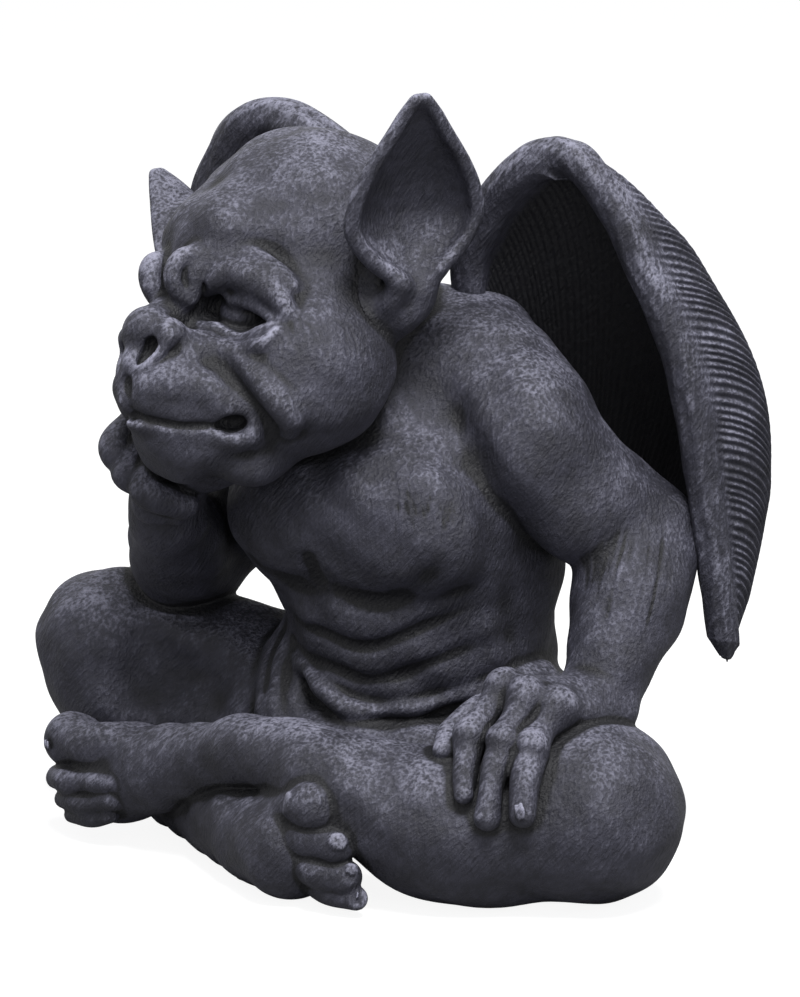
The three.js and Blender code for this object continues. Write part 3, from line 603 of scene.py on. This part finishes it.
rightLeg = [
    limb([(-26, 6, 26), (-56, -2, 35), (-85, -10, 43.5)], [25, 23.5, 18.5]),
    egg((-86, -15, 48), (12.5, 13.5, 13), melt=6),
    limb([(-85, -10, 43.5), (-79, -11, 27), (-58, -13, 11)], [18.5, 17, 12.5]),
    muscle((-84, -24, 42), (-72, -22, 16), (6, 6), melt=7),
    egg((-53, -27, 44), (17, 9, 13), melt=7, carve=True),
    # shin, foot and four toes
    limb([(-58, -13, 11), (-26, -38, 12.5), (3, -57, 13)], [12.5, 12.6, 12.4], melt=6),
    limb([(0, -55, 21), (8, -59, 25), (14, -62, 26.5)], [7, 6.4, 7], melt=1.8),
    limb([(5, -58, 19), (12.5, -62.8, 18.6), (20, -62.5, 17.6)], [4.4, 5, 4.8], melt=0.8),
    limb([(7, -58, 12), (15, -62.8, 11), (23, -62.5, 9.8)], [4, 4.4, 4.2], melt=0.8),
    limb([(11, -58, 6.5), (19, -62, 5.6), (25.5, -61.5, 4.9)], [3.4, 3.5, 3.1], melt=0.8),
    *nail((9.3, -67, 27.4), (-0.58, -0.79, 0.18), (0.2, -0.1, 1), 2.2, 3.2),
    *nail((23.3, -65.7, 19.8), (0.6, -0.7, 0.4), (1, 0.3, -0.2), 1.8, 1.9),
    *nail((26, -63.8, 12.4), (0.7, -0.5, 0.5), (1, 0.3, -0.2), 1.5, 1.6),
    *nail((27.2, -63.4, 6.4), (0.8, -0.6, 0.1), (1, 0.3, -0.2), 1.2, 1.3),
]

# Each casting: its forms, its voxel size, how sharply it meets its neighbours, and where it flows into one:
# the place, how far the flow reaches and how wide it melts
groups = {
    "torso": {"forms": torso, "step": 0.82, "rest": 1.0, "joins": []},
    "right_leg": {"forms": rightLeg, "step": 0.65, "rest": 1.0, "joins": [((-26, 6, 26), 45, 6)]},
    "left_leg": {"forms": leftLeg, "step": 0.65, "rest": 1.0, "joins": [((26, 6, 26), 40, 6)]},
    "right_arm": {"forms": rightArm, "step": 0.6, "rest": 1.0, "joins": [((-38, -1, 108), 32, 8)]},
    "left_arm": {"forms": leftArm, "step": 0.55, "rest": 1.0, "joins": [((38, -2, 118), 32, 8)]},
    "head": {"forms": head, "step": 0.62, "rest": 0.8, "joins": [((-9, -8, 124), 26, 5)]},
    "left_ear": {"forms": earForms(1), "step": 0.5, "rest": 1.5,
                 "joins": [(onHead(at(32, 16, -2)), 26, 4)]},
    "right_ear": {"forms": earForms(-1), "step": 0.5, "rest": 1.5,
                  "joins": [(onHead(at(-32, 16, -2)), 26, 4)]},
}

mouthLine = [(-0.3, -48.4, -18.6), (2.4, -47, -19.6), (5, -45.2, -20.9), (9.4, -41.4, -23.3),
             (13.8, -36, -25), (16.8, -32.6, -25.4)]
strokes = [
    # chest and belly
    stroke([(-4, -40, 82), (-4, -37, 73)], 4, 1.4),
    stroke([(-27, -14, 57), (-29, -20, 49), (-25, -28, 38)], 3, 1.0),
    stroke([(-21, -18, 56), (-22, -24, 48), (-18, -31, 38)], 3, 1.2),
    stroke([(-3, -36, 73), (14, -34, 70), (25, -35, 74), (33, -33, 83)], 5.5, 1.3),
    stroke([(-3, -36, 73), (-14, -36, 70.5), (-24, -33, 73), (-32, -27, 80)], 5.5, 1.3),
    stroke([(-18, -23, 64), (-6, -29, 61), (7, -29, 59), (22, -26, 65), (31, -17, 70)], 3, 1.2),
    stroke([(-15, -23, 54), (-3, -27, 52), (10, -26, 51), (21, -24, 55), (29, -15, 60)], 3, 1.1),
    # spine
    stroke([(0, 33, 120), (0, 37, 100), (0, 38, 70), (0, 43, 40)], 6, 2.2),
    # mouth line, the groove between the lip flaps, the hollow round them, the brow knot and the nose wing
    stroke(mouthLine, 1.5, 1.3, headPose, False),
    stroke([(-x, y, z) for x, y, z in mouthLine], 1.5, 1.3, headPose, False),
    stroke([(0, -44.3, -8.5), (0, -46.6, -11.8), (0, -47.1, -15.1), (0, -45.8, -18.2)], 2.6, 1.8, headPose),
    stroke([(11, -29.9, -7.8), (15.3, -28.3, -12.6), (21.3, -28.2, -19.1), (23.4, -27.6, -24.6),
            (21.5, -25.9, -30.5)], 4.5, 0.5, headPose),
    stroke([(6.4, -27.5, 13), (5.6, -28.9, 10), (5.9, -28.4, 7)], 1.2, 0.6, headPose),
    stroke([(9.4, -37, 0.4), (10.2, -37, -3.2), (9, -38.6, -6.2)], 1.6, 0.5, headPose),
    # fine lines of the skin: cheek, chest, forearm
    *combed([(28.8, -17.5, -3.5), (32.3, -18.5, -11.1), (31.9, -21.5, -21)],
            [(34.6, -3.8, -5.8), (36.8, -5.7, -15.4), (35.6, -11.2, -26.3)], 30, 0.8, 0.13, headPose),
    *combed([(17.4, -32.7, 110.3), (19.8, -37.9, 95.8), (20, -37.9, 79.5)],
            [(32.3, -20.8, 109.4), (35.2, -27.1, 95.4), (32.6, -30.9, 79.7)], 36, 0.9, 0.15),
    *combed([(54.1, -6, 89.6), (54.4, -6.9, 74.5), (57.2, -12, 57.2)],
            [(70.7, 15.8, 91.6), (72.5, 5.1, 77.2), (71, -6.6, 55.4)], 34, 0.8, 0.13),
]

# Slow waves that leave the clay uneven, as a hand does
clay = {"waves": 14, "shortest": 8, "longest": 22, "deep": 0.1}
clayWaves = []
for _ in range(clay["waves"]):
    heading = Vector(rng.normal(size=3)).normalized()
    heading = heading * 2 * math.pi / rng.uniform(clay["shortest"], clay["longest"])
    clayWaves.append((heading, rng.uniform(0, 6.3)))


def uneven(place):
    x, y, z = place
    waves = [clay["deep"] * np.sin(x * w.x + y * w.y + z * w.z + start) for w, start in clayWaves]
    return sum(waves).astype(np.float32)


# A casting ends at the base and at its seams, where it runs a little into its neighbour and dips
# out of sight; fine and broad are the sizes over which the paint looks for raised places and hollows
casting = {"base": 1.35, "below": 3, "margin": 4, "reach": 6, "flow": 1.6, "band": 3,
           "seamOverlap": 1.2, "seamDip": 0.2, "seamEase": 0.4, "fine": 1.0, "broad": 3.0}


def boxOf(forms):
    added = [form for form in forms if not form["carve"]]
    return np.min([f["low"] for f in added], 0), np.max([f["high"] for f in added], 0)


def sculpt(name):
    low, high = boxOf(groups[name]["forms"])
    low[2] = max(low[2], casting["base"] - casting["below"])
    step = groups[name]["step"] * coarse
    grid = newGrid(low - casting["margin"], high + casting["margin"], step)
    gridHigh = grid["low"] + grid["count"] * step
    _, place = windowOf(grid, grid["low"], gridHigh)
    whole = np.full(grid["count"], farAway, np.float32)
    others = np.full(grid["count"], farAway, np.float32)
    for label, group in groups.items():
        groupLow, groupHigh = boxOf(group["forms"])
        below = groupHigh + casting["reach"] < grid["low"]
        above = groupLow - casting["reach"] > gridHigh
        if np.any(below) or np.any(above):
            continue
        field = pressed(group["forms"], grid)
        if label == name:
            own = field
        else:
            others = np.minimum(others, field)
        melt = np.float32(group["rest"])
        for centre, reach, wide in group["joins"]:
            far = np.sqrt(sum((place[k] - centre[k]) ** 2 for k in range(3))) / reach
            flow = np.clip(casting["flow"] - casting["flow"] * far, 0, 1).astype(np.float32)
            melt = melt + (wide - group["rest"]) * flow
        whole = softMin(whole, field, melt)
    if not name.endswith("_ear"):
        whole += uneven(place)
    tooled(whole, grid, strokes)
    side = (own - others) / 2
    ease, overlap = casting["seamEase"], casting["seamOverlap"]
    dip = casting["seamDip"] * np.clip((side + ease) / (overlap + ease), 0, 1)
    base = (casting["base"] - place[2]).astype(np.float32)
    solid = np.maximum(np.maximum(whole + dip, side - overlap), base)
    band = casting["band"] * step
    level = openvdb.FloatGrid(band)
    level.copyFromArray(np.clip(solid, -band, band).astype(np.float32))
    points, quads = level.convertToQuads(0.0)
    points, quads = largestIsland(points.astype(float), quads.astype(int))
    points = points * step + grid["low"]
    fineRadius = max(1, round(casting["fine"] / step))
    broadRadius = max(2, round(casting["broad"] / step))
    fine = sample(blurred(whole, fineRadius) - whole, grid, points)
    broad = sample(blurred(whole, broadRadius) - whole, grid, points)
    print("stage: sculpted", name, len(quads))
    return meshOf(name + "_cast", points, quads, {"fine": fine, "broad": broad})


# Wings: one skin round the leading bone, arched behind it, with finger bones and cross ribs on both faces
wing = {
    "leading": [(12, 16, 116), (11.5, 10, 147), (19.5, 7.5, 163.5), (30, 5, 174), (39, 4, 178.2),
                (47, 4.8, 176.2), (54, 7.2, 167.5), (60, 9.8, 155.5), (71, 16.5, 122), (76, 27, 54.5)],
    "trailing": [(9, 22, 84), (12, 36, 84), (22, 48, 80), (36, 55, 76), (64, 48, 65), (75.8, 28.2, 52.6)],
    "outward": (0.75, 0.66, 0.1), "arch": 3, "archEase": 0.6, "lean": 0.55,
    "bulgePlace": 0.57, "bulgeWide": 0.28,
    "thick": 1.9, "edgeTaper": 0.55, "tipThin": 0.04, "tipEnd": 1.005, "tipFade": 9, "steadyFrom": 0.965,
    "boneTaper": 0.3, "boneShare": 0.6, "scallops": 3, "scallop": 0.07,
    "ribPitch": 2.1, "ribDeep": 0.36, "ribInner": 0.4, "ribSlant": 0.1, "ribSway": 0.5, "ribSwayRate": 0.37,
    "ribStart": 1.05, "ribEdge": 0.15, "ribEnd": 0.97, "ribFade": 0.05, "grainDeep": 0.3, "grainReach": 1.1,
    "fingerPlaces": (0.47, 0.74), "fingerHigh": 1, "fingerOuter": 0.4, "fingerWide": 4, "fingerTaper": 0.6,
    "fingerStart": 0.4, "fingerRise": 8,
    "along": 720, "across": 52, "cap": 16, "crowding": 1.3,
}
wings = {
    "left_wing": {"stretch": 1, "shift": (0, 0, 0), "bone": 5.6, "bulge": 16.5},
    "right_wing": {"stretch": -1.2, "shift": (-3, 11.1, 1.8), "bone": 6.6, "bulge": 12},
}


# What the paint takes as raised: the crest of the bone, the ribs and the tool marks, on each face; the outer
# face also gets a painted highlight and the inner face painted shade
wingPaint = {"crest": 0.5, "crestWide": 0.9, "grain": 0.12, "cap": 0.15, "capBroad": 0.8,
             "outerRib": 0.1, "outerCrest": 0.2, "outer": 0.08, "outerBroad": 0.3,
             "innerRib": 0.03, "innerCrest": 0.25, "innerBroad": 0.6}


def even(points, count):
    line = smoothLine(points, 60)
    run = np.concatenate([[0], np.cumsum(np.linalg.norm(np.diff(line, axis=0), axis=1))])
    spots = np.linspace(0, run[-1], count)
    return np.stack([np.interp(spots, run, line[:, k]) for k in range(3)], 1), run[-1]


# Tool marks that wander along the bone
def boneGrain(across, run):
    wave = np.sin(across * 4.1 + 1.7 * np.sin(run * 0.13))
    return wave * np.cos(across * 2.3 - run * 0.06 + np.sin(run * 0.21))


def unit(vectors):
    return vectors / np.maximum(np.linalg.norm(vectors, axis=2, keepdims=True), 1e-9)


def wingSkin(own):
    rows = int(wing["along"] / coarse)
    columns = int(wing["across"] / coarse)
    leading, length = even(wing["leading"], rows)
    trailing, _ = even(wing["trailing"], rows)
    along = np.linspace(0, 1, rows)[:, None]
    share = np.linspace(0, 1, columns)[None, :] ** wing["crowding"]
    run = along * length
    # the middle sheet, from the bone to the scalloped edge
    span = np.linalg.norm(trailing - leading, axis=1)[:, None]
    bone = own["bone"] * (1 - wing["boneTaper"] * along ** 2)
    bone = np.minimum(bone, span * wing["boneShare"])
    scallop = wing["scallop"] * np.abs(np.sin(wing["scallops"] * math.pi * along))
    part = share * (1 - scallop * share)
    bulge = own["bulge"] * np.exp(-((along - wing["bulgePlace"]) / wing["bulgeWide"]) ** 2)
    fade = np.minimum(1, wing["tipFade"] * (1 - along))
    swell = wing["arch"] * np.sin(math.pi * along) ** wing["archEase"] + bulge * fade
    arch = swell * np.sin(math.pi * part ** wing["lean"])
    outward = np.array(wing["outward"]) / np.linalg.norm(wing["outward"])
    middle = leading[:, None] * (1 - part[..., None]) + trailing[:, None] * part[..., None]
    middle = middle + arch[..., None] * outward
    far = np.cumsum(np.linalg.norm(np.diff(middle, axis=1), axis=2), axis=1)
    far = np.concatenate([np.zeros((rows, 1)), far], 1)
    crosswise = np.gradient(middle, axis=1)
    normal = unit(np.cross(np.gradient(middle, axis=0), crosswise))
    crosswise = unit(crosswise)
    steady = int(wing["steadyFrom"] * rows)  # the tip keeps one direction, so its rows don't fold
    normal[steady:] = normal[steady]
    crosswise[steady:] = crosswise[steady]
    # the thickness of both faces: bone, ribs, tool marks and finger bones
    rounded = np.sqrt(np.maximum(bone ** 2 - np.minimum(far, bone) ** 2, 0))
    thin = np.clip((wing["tipEnd"] - along) / wing["tipThin"], 0, 1)
    half = np.maximum(wing["thick"] * (1 - wing["edgeTaper"] * share) * thin, rounded)
    sway = wing["ribSway"] * np.sin(run * wing["ribSwayRate"])
    rib = np.sin(2 * math.pi * (run + sway + far * wing["ribSlant"]) / wing["ribPitch"])
    strip = np.clip(far - bone * wing["ribStart"], 0, 1) * np.clip((1 - share) / wing["ribEdge"], 0, 1)
    strip = strip * np.clip((wing["ribEnd"] - along) / wing["ribFade"], 0, 1)
    grain = boneGrain(far, run) * np.exp(-(far / (wing["grainReach"] * bone)) ** 4)
    outerHalf = half + wing["ribDeep"] * rib * strip + wing["grainDeep"] * grain
    innerRib = wing["ribInner"] * wing["ribDeep"] * np.roll(rib, 3, axis=0)
    innerHalf = half + innerRib * strip + wing["grainDeep"] * grain
    taper = 1 - wing["fingerTaper"] * share
    for spot in wing["fingerPlaces"]:
        ridge = np.exp(-(((along - spot) * length) / wing["fingerWide"]) ** 2)
        ridge = ridge * np.clip(far / wing["fingerRise"] - wing["fingerStart"], 0, 1)
        outerHalf = outerHalf + wing["fingerOuter"] * wing["fingerHigh"] * ridge * taper
        innerHalf = innerHalf + wing["fingerHigh"] * ridge * taper
    outer = middle + normal * outerHalf[..., None]
    inner = middle - normal * innerHalf[..., None]
    # the round front of the bone
    angles = np.linspace(math.pi / 2, -math.pi / 2, wing["cap"] + 2)[1:-1]
    capGrain = boneGrain(angles[None, :] * bone, run)
    reach = bone + wing["grainDeep"] * capGrain
    ahead = np.cos(angles)[:, None] * -crosswise[:, None, 0] + np.sin(angles)[:, None] * normal[:, None, 0]
    cap = middle[:, None, 0] + reach[..., None] * ahead
    loop = np.concatenate([outer[:, ::-1], cap, inner], 1)
    paint = wingPaint
    crest = paint["crest"] * np.exp(-(far / (bone * paint["crestWide"])) ** 2)
    outerFine = paint["outerRib"] * rib * strip + paint["grain"] * grain + paint["outerCrest"] * crest
    # the outer face is lifted a little as a painted highlight
    outerFine = outerFine + paint["outer"]
    innerFine = paint["innerRib"] * rib * strip + paint["grain"] * grain + paint["innerCrest"] * crest
    fine = np.concatenate([outerFine[:, ::-1], paint["cap"] + paint["grain"] * capGrain, innerFine], 1)
    # the outer face is lifted as painted highlight, the inner face lowered as painted shade
    outerBroad = crest + paint["outerBroad"]
    innerBroad = crest - paint["innerBroad"] * (1 - crest * 2)
    capBroad = np.full(cap.shape[:2], paint["capBroad"])
    broad = np.concatenate([outerBroad[:, ::-1], capBroad, innerBroad], 1)
    return loop * np.array([own["stretch"], 1, 1]) + np.array(own["shift"]), fine, broad


def wingPiece(name, own):
    loop, fine, broad = wingSkin(own)
    points, quads, triangles = loopSkin(loop)
    ends = [0.0, 0.0]
    raised = {"fine": [*fine.ravel(), *ends], "broad": [*broad.ravel(), *ends]}
    piece = meshOf(name + "_cast", points, quads, raised)
    mesh = bmesh.new()
    mesh.from_mesh(piece.data)
    mesh.verts.ensure_lookup_table()
    for corners in triangles:
        mesh.faces.new([mesh.verts[i] for i in corners])
    bmesh.ops.recalc_face_normals(mesh, faces=mesh.faces)
    for side in mesh.faces:
        side.smooth = True
    mesh.to_mesh(piece.data)
    mesh.free()
    print("stage: skinned", name, len(quads))
    return piece


# Felt pads: soft discs with rounded edges, in the space of the solids
felt = {"rounding": 0.00025, "sides": 48}


def padPiece(name):
    low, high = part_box(name)
    radius = (high.x - low.x) / 2
    mesh = bmesh.new()
    bmesh.ops.create_cone(mesh, cap_ends=True, segments=felt["sides"], radius1=radius, radius2=radius,
                          depth=high.z - low.z, matrix=Matrix.Translation((low + high) / 2))
    edges = [edge for edge in mesh.edges
             if len(edge.link_faces) == 2 and any(len(f.verts) > 4 for f in edge.link_faces)]
    bmesh.ops.bevel(mesh, geom=edges, offset=felt["rounding"], offset_type="OFFSET", segments=3, profile=0.5,
                    affect="EDGES", material=-1)
    data = bpy.data.meshes.new(name + "_felt")
    mesh.to_mesh(data)
    mesh.free()
    return placed(name + "_felt", data)


pieces = {}
for name in groups:
    pieces[name] = sculpt(name)
for name, own in wings.items():
    pieces[name] = wingPiece(name, own)

print("stage: materials")


def linear(code):
    parts = [int(code[i:i + 2], 16) / 255 for i in (1, 3, 5)]
    return [c / 12.92 if c <= 0.04045 else ((c + 0.055) / 1.055) ** 2.4 for c in parts] + [1]


def addNode(tree, kind, inputs, **settings):
    node = tree.nodes.new("ShaderNode" + kind)
    for key, value in settings.items():
        setattr(node, key, value)
    for key, value in inputs.items():
        if isinstance(value, bpy.types.NodeSocket):
            tree.links.new(value, node.inputs[key])
        else:
            node.inputs[key].default_value = value
    return node


def newMaterial(name):
    material = bpy.data.materials.new(name)
    material.use_nodes = True
    tree = material.node_tree
    place = addNode(tree, "TexCoord", {}).outputs["Object"]
    return material, tree, tree.nodes["Principled BSDF"], place


# Stone-filled resin, cast and painted by hand: charcoal with a dark wash and painted shade in the hollows,
# pale blue-grey dry-brushed over what stands out, with a painted highlight on what faces up. The grit and
# brush hairs are drawn coarse enough to show
resinPaint = {
    "patterns": {
        "grain": {"mm": 0.7, "detail": 5, "rough": 0.65},
        "speck": {"mm": 2.6, "detail": 4, "rough": 0.6},
        "cloud": {"mm": 14, "detail": 4, "rough": 0.6},
        "streak": {"mm": 0.9, "detail": 3, "rough": 0.55, "stretch": (1, 1, 0.1)},
        "scratch": {"mm": 0.8, "detail": 2, "rough": 0.5, "turn": (0.5, 0.7, 0.3), "stretch": (0.1, 1, 1)},
        "hair": {"mm": 0.8, "detail": 2, "rough": 0.5, "turn": (-0.6, 0.9, -0.5), "stretch": (0.1, 1, 1)},
    },
    # each layer is a weighted sum of patterns and earlier layers, faded in between two levels
    "layers": {
        # this layer is dry-brush on raised places plus a painted highlight where the surface faces up
        "brushAndHighlight": ({"fine": 0.9, "broad": 0.05, "upward": 0.26, "cloud": 0.65, "speck": 0.25}, (0.34, 1.26)),
        "broken": ({"grain": 0.5, "streak": 0.5, "scratch": 0.5, "hair": 0.5, "brushAndHighlight": 0.35}, (0.99, 1.33)),
        # darker in concave places: a dark wash together with painted shade
        "hollowWashAndShade": ({"fine": -3.5, "broad": -1.7, "speck": 0.3}, (0.26, 0.95)),
        "nick": ({"scratch": 0.6, "grain": 0.5}, (0.41, 0.31)),
        "mottle": ({"cloud": 0.6, "speck": 0.4}, (0.35, 0.65)),
        "height": ({"grain": 0.5, "streak": 0.6, "scratch": 0.7, "hair": 0.7, "speck": 0.4}, None),
    },
    "ground": "#1f1f27",
    # the pale coat is dry-brush with painted highlight; the near-black is dark wash with painted shade
    "coats": {"mottle": "#33333e", "coatAndHighlight": "#9090a1", "nick": "#191920", "hollowWashAndShade": "#0c0c11"},
    "roughness": 0.62, "specular": 0.35, "bumpMm": 0.6,
}
resin, tree, shader, place = newMaterial("stoneResin")
facing = addNode(tree, "NewGeometry", {}).outputs["Normal"]
looks = {
    "fine": addNode(tree, "Attribute", {}, attribute_name="fine").outputs["Fac"],
    "broad": addNode(tree, "Attribute", {}, attribute_name="broad").outputs["Fac"],
    # the height of the normal: surfaces that face up get a painted highlight
    "upward": addNode(tree, "SeparateXYZ", {0: facing}).outputs[2],
}
for label, pattern in resinPaint["patterns"].items():
    spot = place
    if "turn" in pattern:
        spot = addNode(tree, "Mapping", {"Vector": spot, "Rotation": pattern["turn"]}).outputs[0]
    if "stretch" in pattern:
        spot = addNode(tree, "Mapping", {"Vector": spot, "Scale": pattern["stretch"]}).outputs[0]
    looks[label] = addNode(tree, "TexNoise", {"Vector": spot, "Scale": perMetre / pattern["mm"],
                                              "Detail": pattern["detail"],
                                              "Roughness": pattern["rough"]}).outputs[0]
for label, (weights, levels) in resinPaint["layers"].items():
    total = None
    for source, weight in weights.items():
        part = addNode(tree, "Math", {0: looks[source], 1: weight}, operation="MULTIPLY").outputs[0]
        if total is not None:
            part = addNode(tree, "Math", {0: total, 1: part}, operation="ADD").outputs[0]
        total = part
    if levels:
        total = addNode(tree, "MapRange", {"Value": total, "From Min": levels[0], "From Max": levels[1]},
                        interpolation_type="SMOOTHSTEP").outputs[0]
    looks[label] = total
# the pale coat: dry-brush with a painted highlight on up-facing surfaces, broken by grit and strokes
coatAndHighlight = addNode(tree, "Math", {0: looks["brushAndHighlight"], 1: looks["broken"]}, operation="MULTIPLY")
looks["coatAndHighlight"] = coatAndHighlight.outputs[0]
paint = linear(resinPaint["ground"])
for label, colour in resinPaint["coats"].items():
    paint = addNode(tree, "Mix", {0: looks[label], 6: paint, 7: linear(colour)}, data_type="RGBA").outputs[2]
tree.links.new(paint, shader.inputs["Base Color"])
shader.inputs["Roughness"].default_value = resinPaint["roughness"]
shader.inputs["Specular IOR Level"].default_value = resinPaint["specular"]
bump = addNode(tree, "Bump", {"Strength": 0.9, "Distance": resinPaint["bumpMm"] / perMetre,
                              "Height": looks["height"]})
tree.links.new(bump.outputs[0], shader.inputs["Normal"])

# Hardwood of the dowels, turned: pale, with a long grain
hardwood, tree, shader, place = newMaterial("hardwood")
spot = addNode(tree, "Mapping", {"Vector": place, "Scale": (1, 1, 0.1)}).outputs[0]
fibre = addNode(tree, "TexNoise", {"Vector": spot, "Scale": perMetre / 1.2, "Detail": 4, "Roughness": 0.6})
fibre = fibre.outputs[0]
tint = addNode(tree, "Mix", {0: fibre, 6: linear("#a9844f"), 7: linear("#d3b384")}, data_type="RGBA")
tree.links.new(tint.outputs[2], shader.inputs["Base Color"])
shader.inputs["Roughness"].default_value = 0.7
bump = addNode(tree, "Bump", {"Strength": 0.4, "Distance": 0.0002, "Height": fibre})
tree.links.new(bump.outputs[0], shader.inputs["Normal"])

# Steel wire of the pins, drawn: grey metal with a fine uneven shine
steelWire, tree, shader, place = newMaterial("steelWire")
drawn = addNode(tree, "TexNoise", {"Vector": place, "Scale": perMetre / 0.4, "Detail": 3, "Roughness": 0.6})
drawn = drawn.outputs[0]
tint = addNode(tree, "Mix", {0: drawn, 6: linear("#84878b"), 7: linear("#a9acb0")}, data_type="RGBA")
tree.links.new(tint.outputs[2], shader.inputs["Base Color"])
shine = addNode(tree, "MapRange", {"Value": drawn, "From Min": -0.6, "From Max": 2.2},
                interpolation_type="SMOOTHSTEP")
tree.links.new(shine.outputs[0], shader.inputs["Roughness"])
shader.inputs["Metallic"].default_value = 1.0

# Felt of the pads, pressed wool: black with a soft nap
wool, tree, shader, place = newMaterial("felt")
nap = addNode(tree, "TexNoise", {"Vector": place, "Scale": perMetre / 0.3, "Detail": 4, "Roughness": 0.7})
nap = nap.outputs[0]
tint = addNode(tree, "Mix", {0: nap, 6: linear("#141416"), 7: linear("#2a2a2e")}, data_type="RGBA")
tree.links.new(tint.outputs[2], shader.inputs["Base Color"])
shader.inputs["Roughness"].default_value = 0.95
bump = addNode(tree, "Bump", {"Strength": 0.6, "Distance": 0.0003, "Height": nap})
tree.links.new(bump.outputs[0], shader.inputs["Normal"])

for name, piece in pieces.items():
    piece.data.materials.append(resin)
    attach(piece, "root")
    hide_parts(name)
for name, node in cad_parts.items():
    if name.endswith(("_dowel", "_pin")):
        node.data.materials.clear()
        node.data.materials.append(hardwood if name.endswith("_dowel") else steelWire)
for name in ("seat_pad", "left_pad", "right_pad", "front_pad"):
    piece = padPiece(name)
    piece.data.materials.append(wool)
    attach(piece, "root")
    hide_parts(name)

print("stage: camera and light")
view = {"focus": (-1.05, -2.9, 90.6), "azimuth": 34, "elevation": 11, "far": 1.2, "sensor": 36, "lens": 216}
focus = (at(*view["focus"]) + origin) / perMetre
azimuth, elevation = math.radians(view["azimuth"]), math.radians(view["elevation"])
back = at(math.sin(azimuth) * math.cos(elevation), -math.cos(azimuth) * math.cos(elevation),
          math.sin(elevation))
lens = bpy.data.cameras.new("camera")
lens.sensor_fit = "HORIZONTAL"
lens.sensor_width = view["sensor"]
lens.lens = view["lens"]
camera = placed("camera", lens)
camera.location = Vector(focus + back * view["far"])
camera.rotation_euler = Vector(back).to_track_quat("Z", "Y").to_euler()
bpy.context.scene.camera = camera

# A dim room that the camera sees as white
room = {"colour": "#f4f6ff", "strength": 0.31, "table": "#909090", "tableGlow": 0.9, "tableHalf": 4}
white = (1, 1, 1, 1)
world = bpy.data.worlds.new("studio")
bpy.context.scene.world = world
world.use_nodes = True
tree = world.node_tree
rays = addNode(tree, "LightPath", {}).outputs
seen = rays["Is Camera Ray"]
for ray in ("Is Glossy Ray", "Is Transmission Ray"):
    seen = addNode(tree, "Math", {0: seen, 1: rays[ray]}, operation="MAXIMUM").outputs[0]
dim = addNode(tree, "Background", {"Color": linear(room["colour"]), "Strength": room["strength"]})
bright = addNode(tree, "Background", {"Color": white, "Strength": 1.0})
blend = addNode(tree, "MixShader", {0: seen, 1: dim.outputs[0], 2: bright.outputs[0]})
tree.links.new(blend.outputs[0], tree.nodes["World Output"].inputs[0])

# A white table that keeps the shadow
table, tree, shader, place = newMaterial("whiteTable")
tree.nodes.remove(shader)
rays = addNode(tree, "LightPath", {}).outputs
matt = addNode(tree, "BsdfDiffuse", {"Color": linear(room["table"])})
lift = addNode(tree, "Math", {0: rays["Is Camera Ray"], 1: room["tableGlow"]}, operation="MULTIPLY")
glow = addNode(tree, "Emission", {"Color": white, "Strength": lift.outputs[0]})
both = addNode(tree, "AddShader", {0: matt.outputs[0], 1: glow.outputs[0]})
tree.links.new(both.outputs[0], tree.nodes["Material Output"].inputs[0])
mesh = bmesh.new()
bmesh.ops.create_grid(mesh, x_segments=1, y_segments=1, size=room["tableHalf"])
data = bpy.data.meshes.new("floor")
mesh.to_mesh(data)
mesh.free()
data.materials.append(table)
floor = placed("floor", data)

# Lamps: place in metres, watts and width
lamps = {"key": ((0.5, -0.5, 1.18), 27, 0.45), "front": ((0.75, -0.9, 0.5), 3, 0.6)}
for name, (spot, power, size) in lamps.items():
    light = bpy.data.lights.new(name, "AREA")
    light.energy = power
    light.size = size
    lamp = placed(name, light)
    lamp.location = Vector(spot)
    lamp.rotation_euler = (Vector(spot) - Vector(focus)).to_track_quat("Z", "Y").to_euler()

bpy.context.scene.view_settings.view_transform = "Standard"
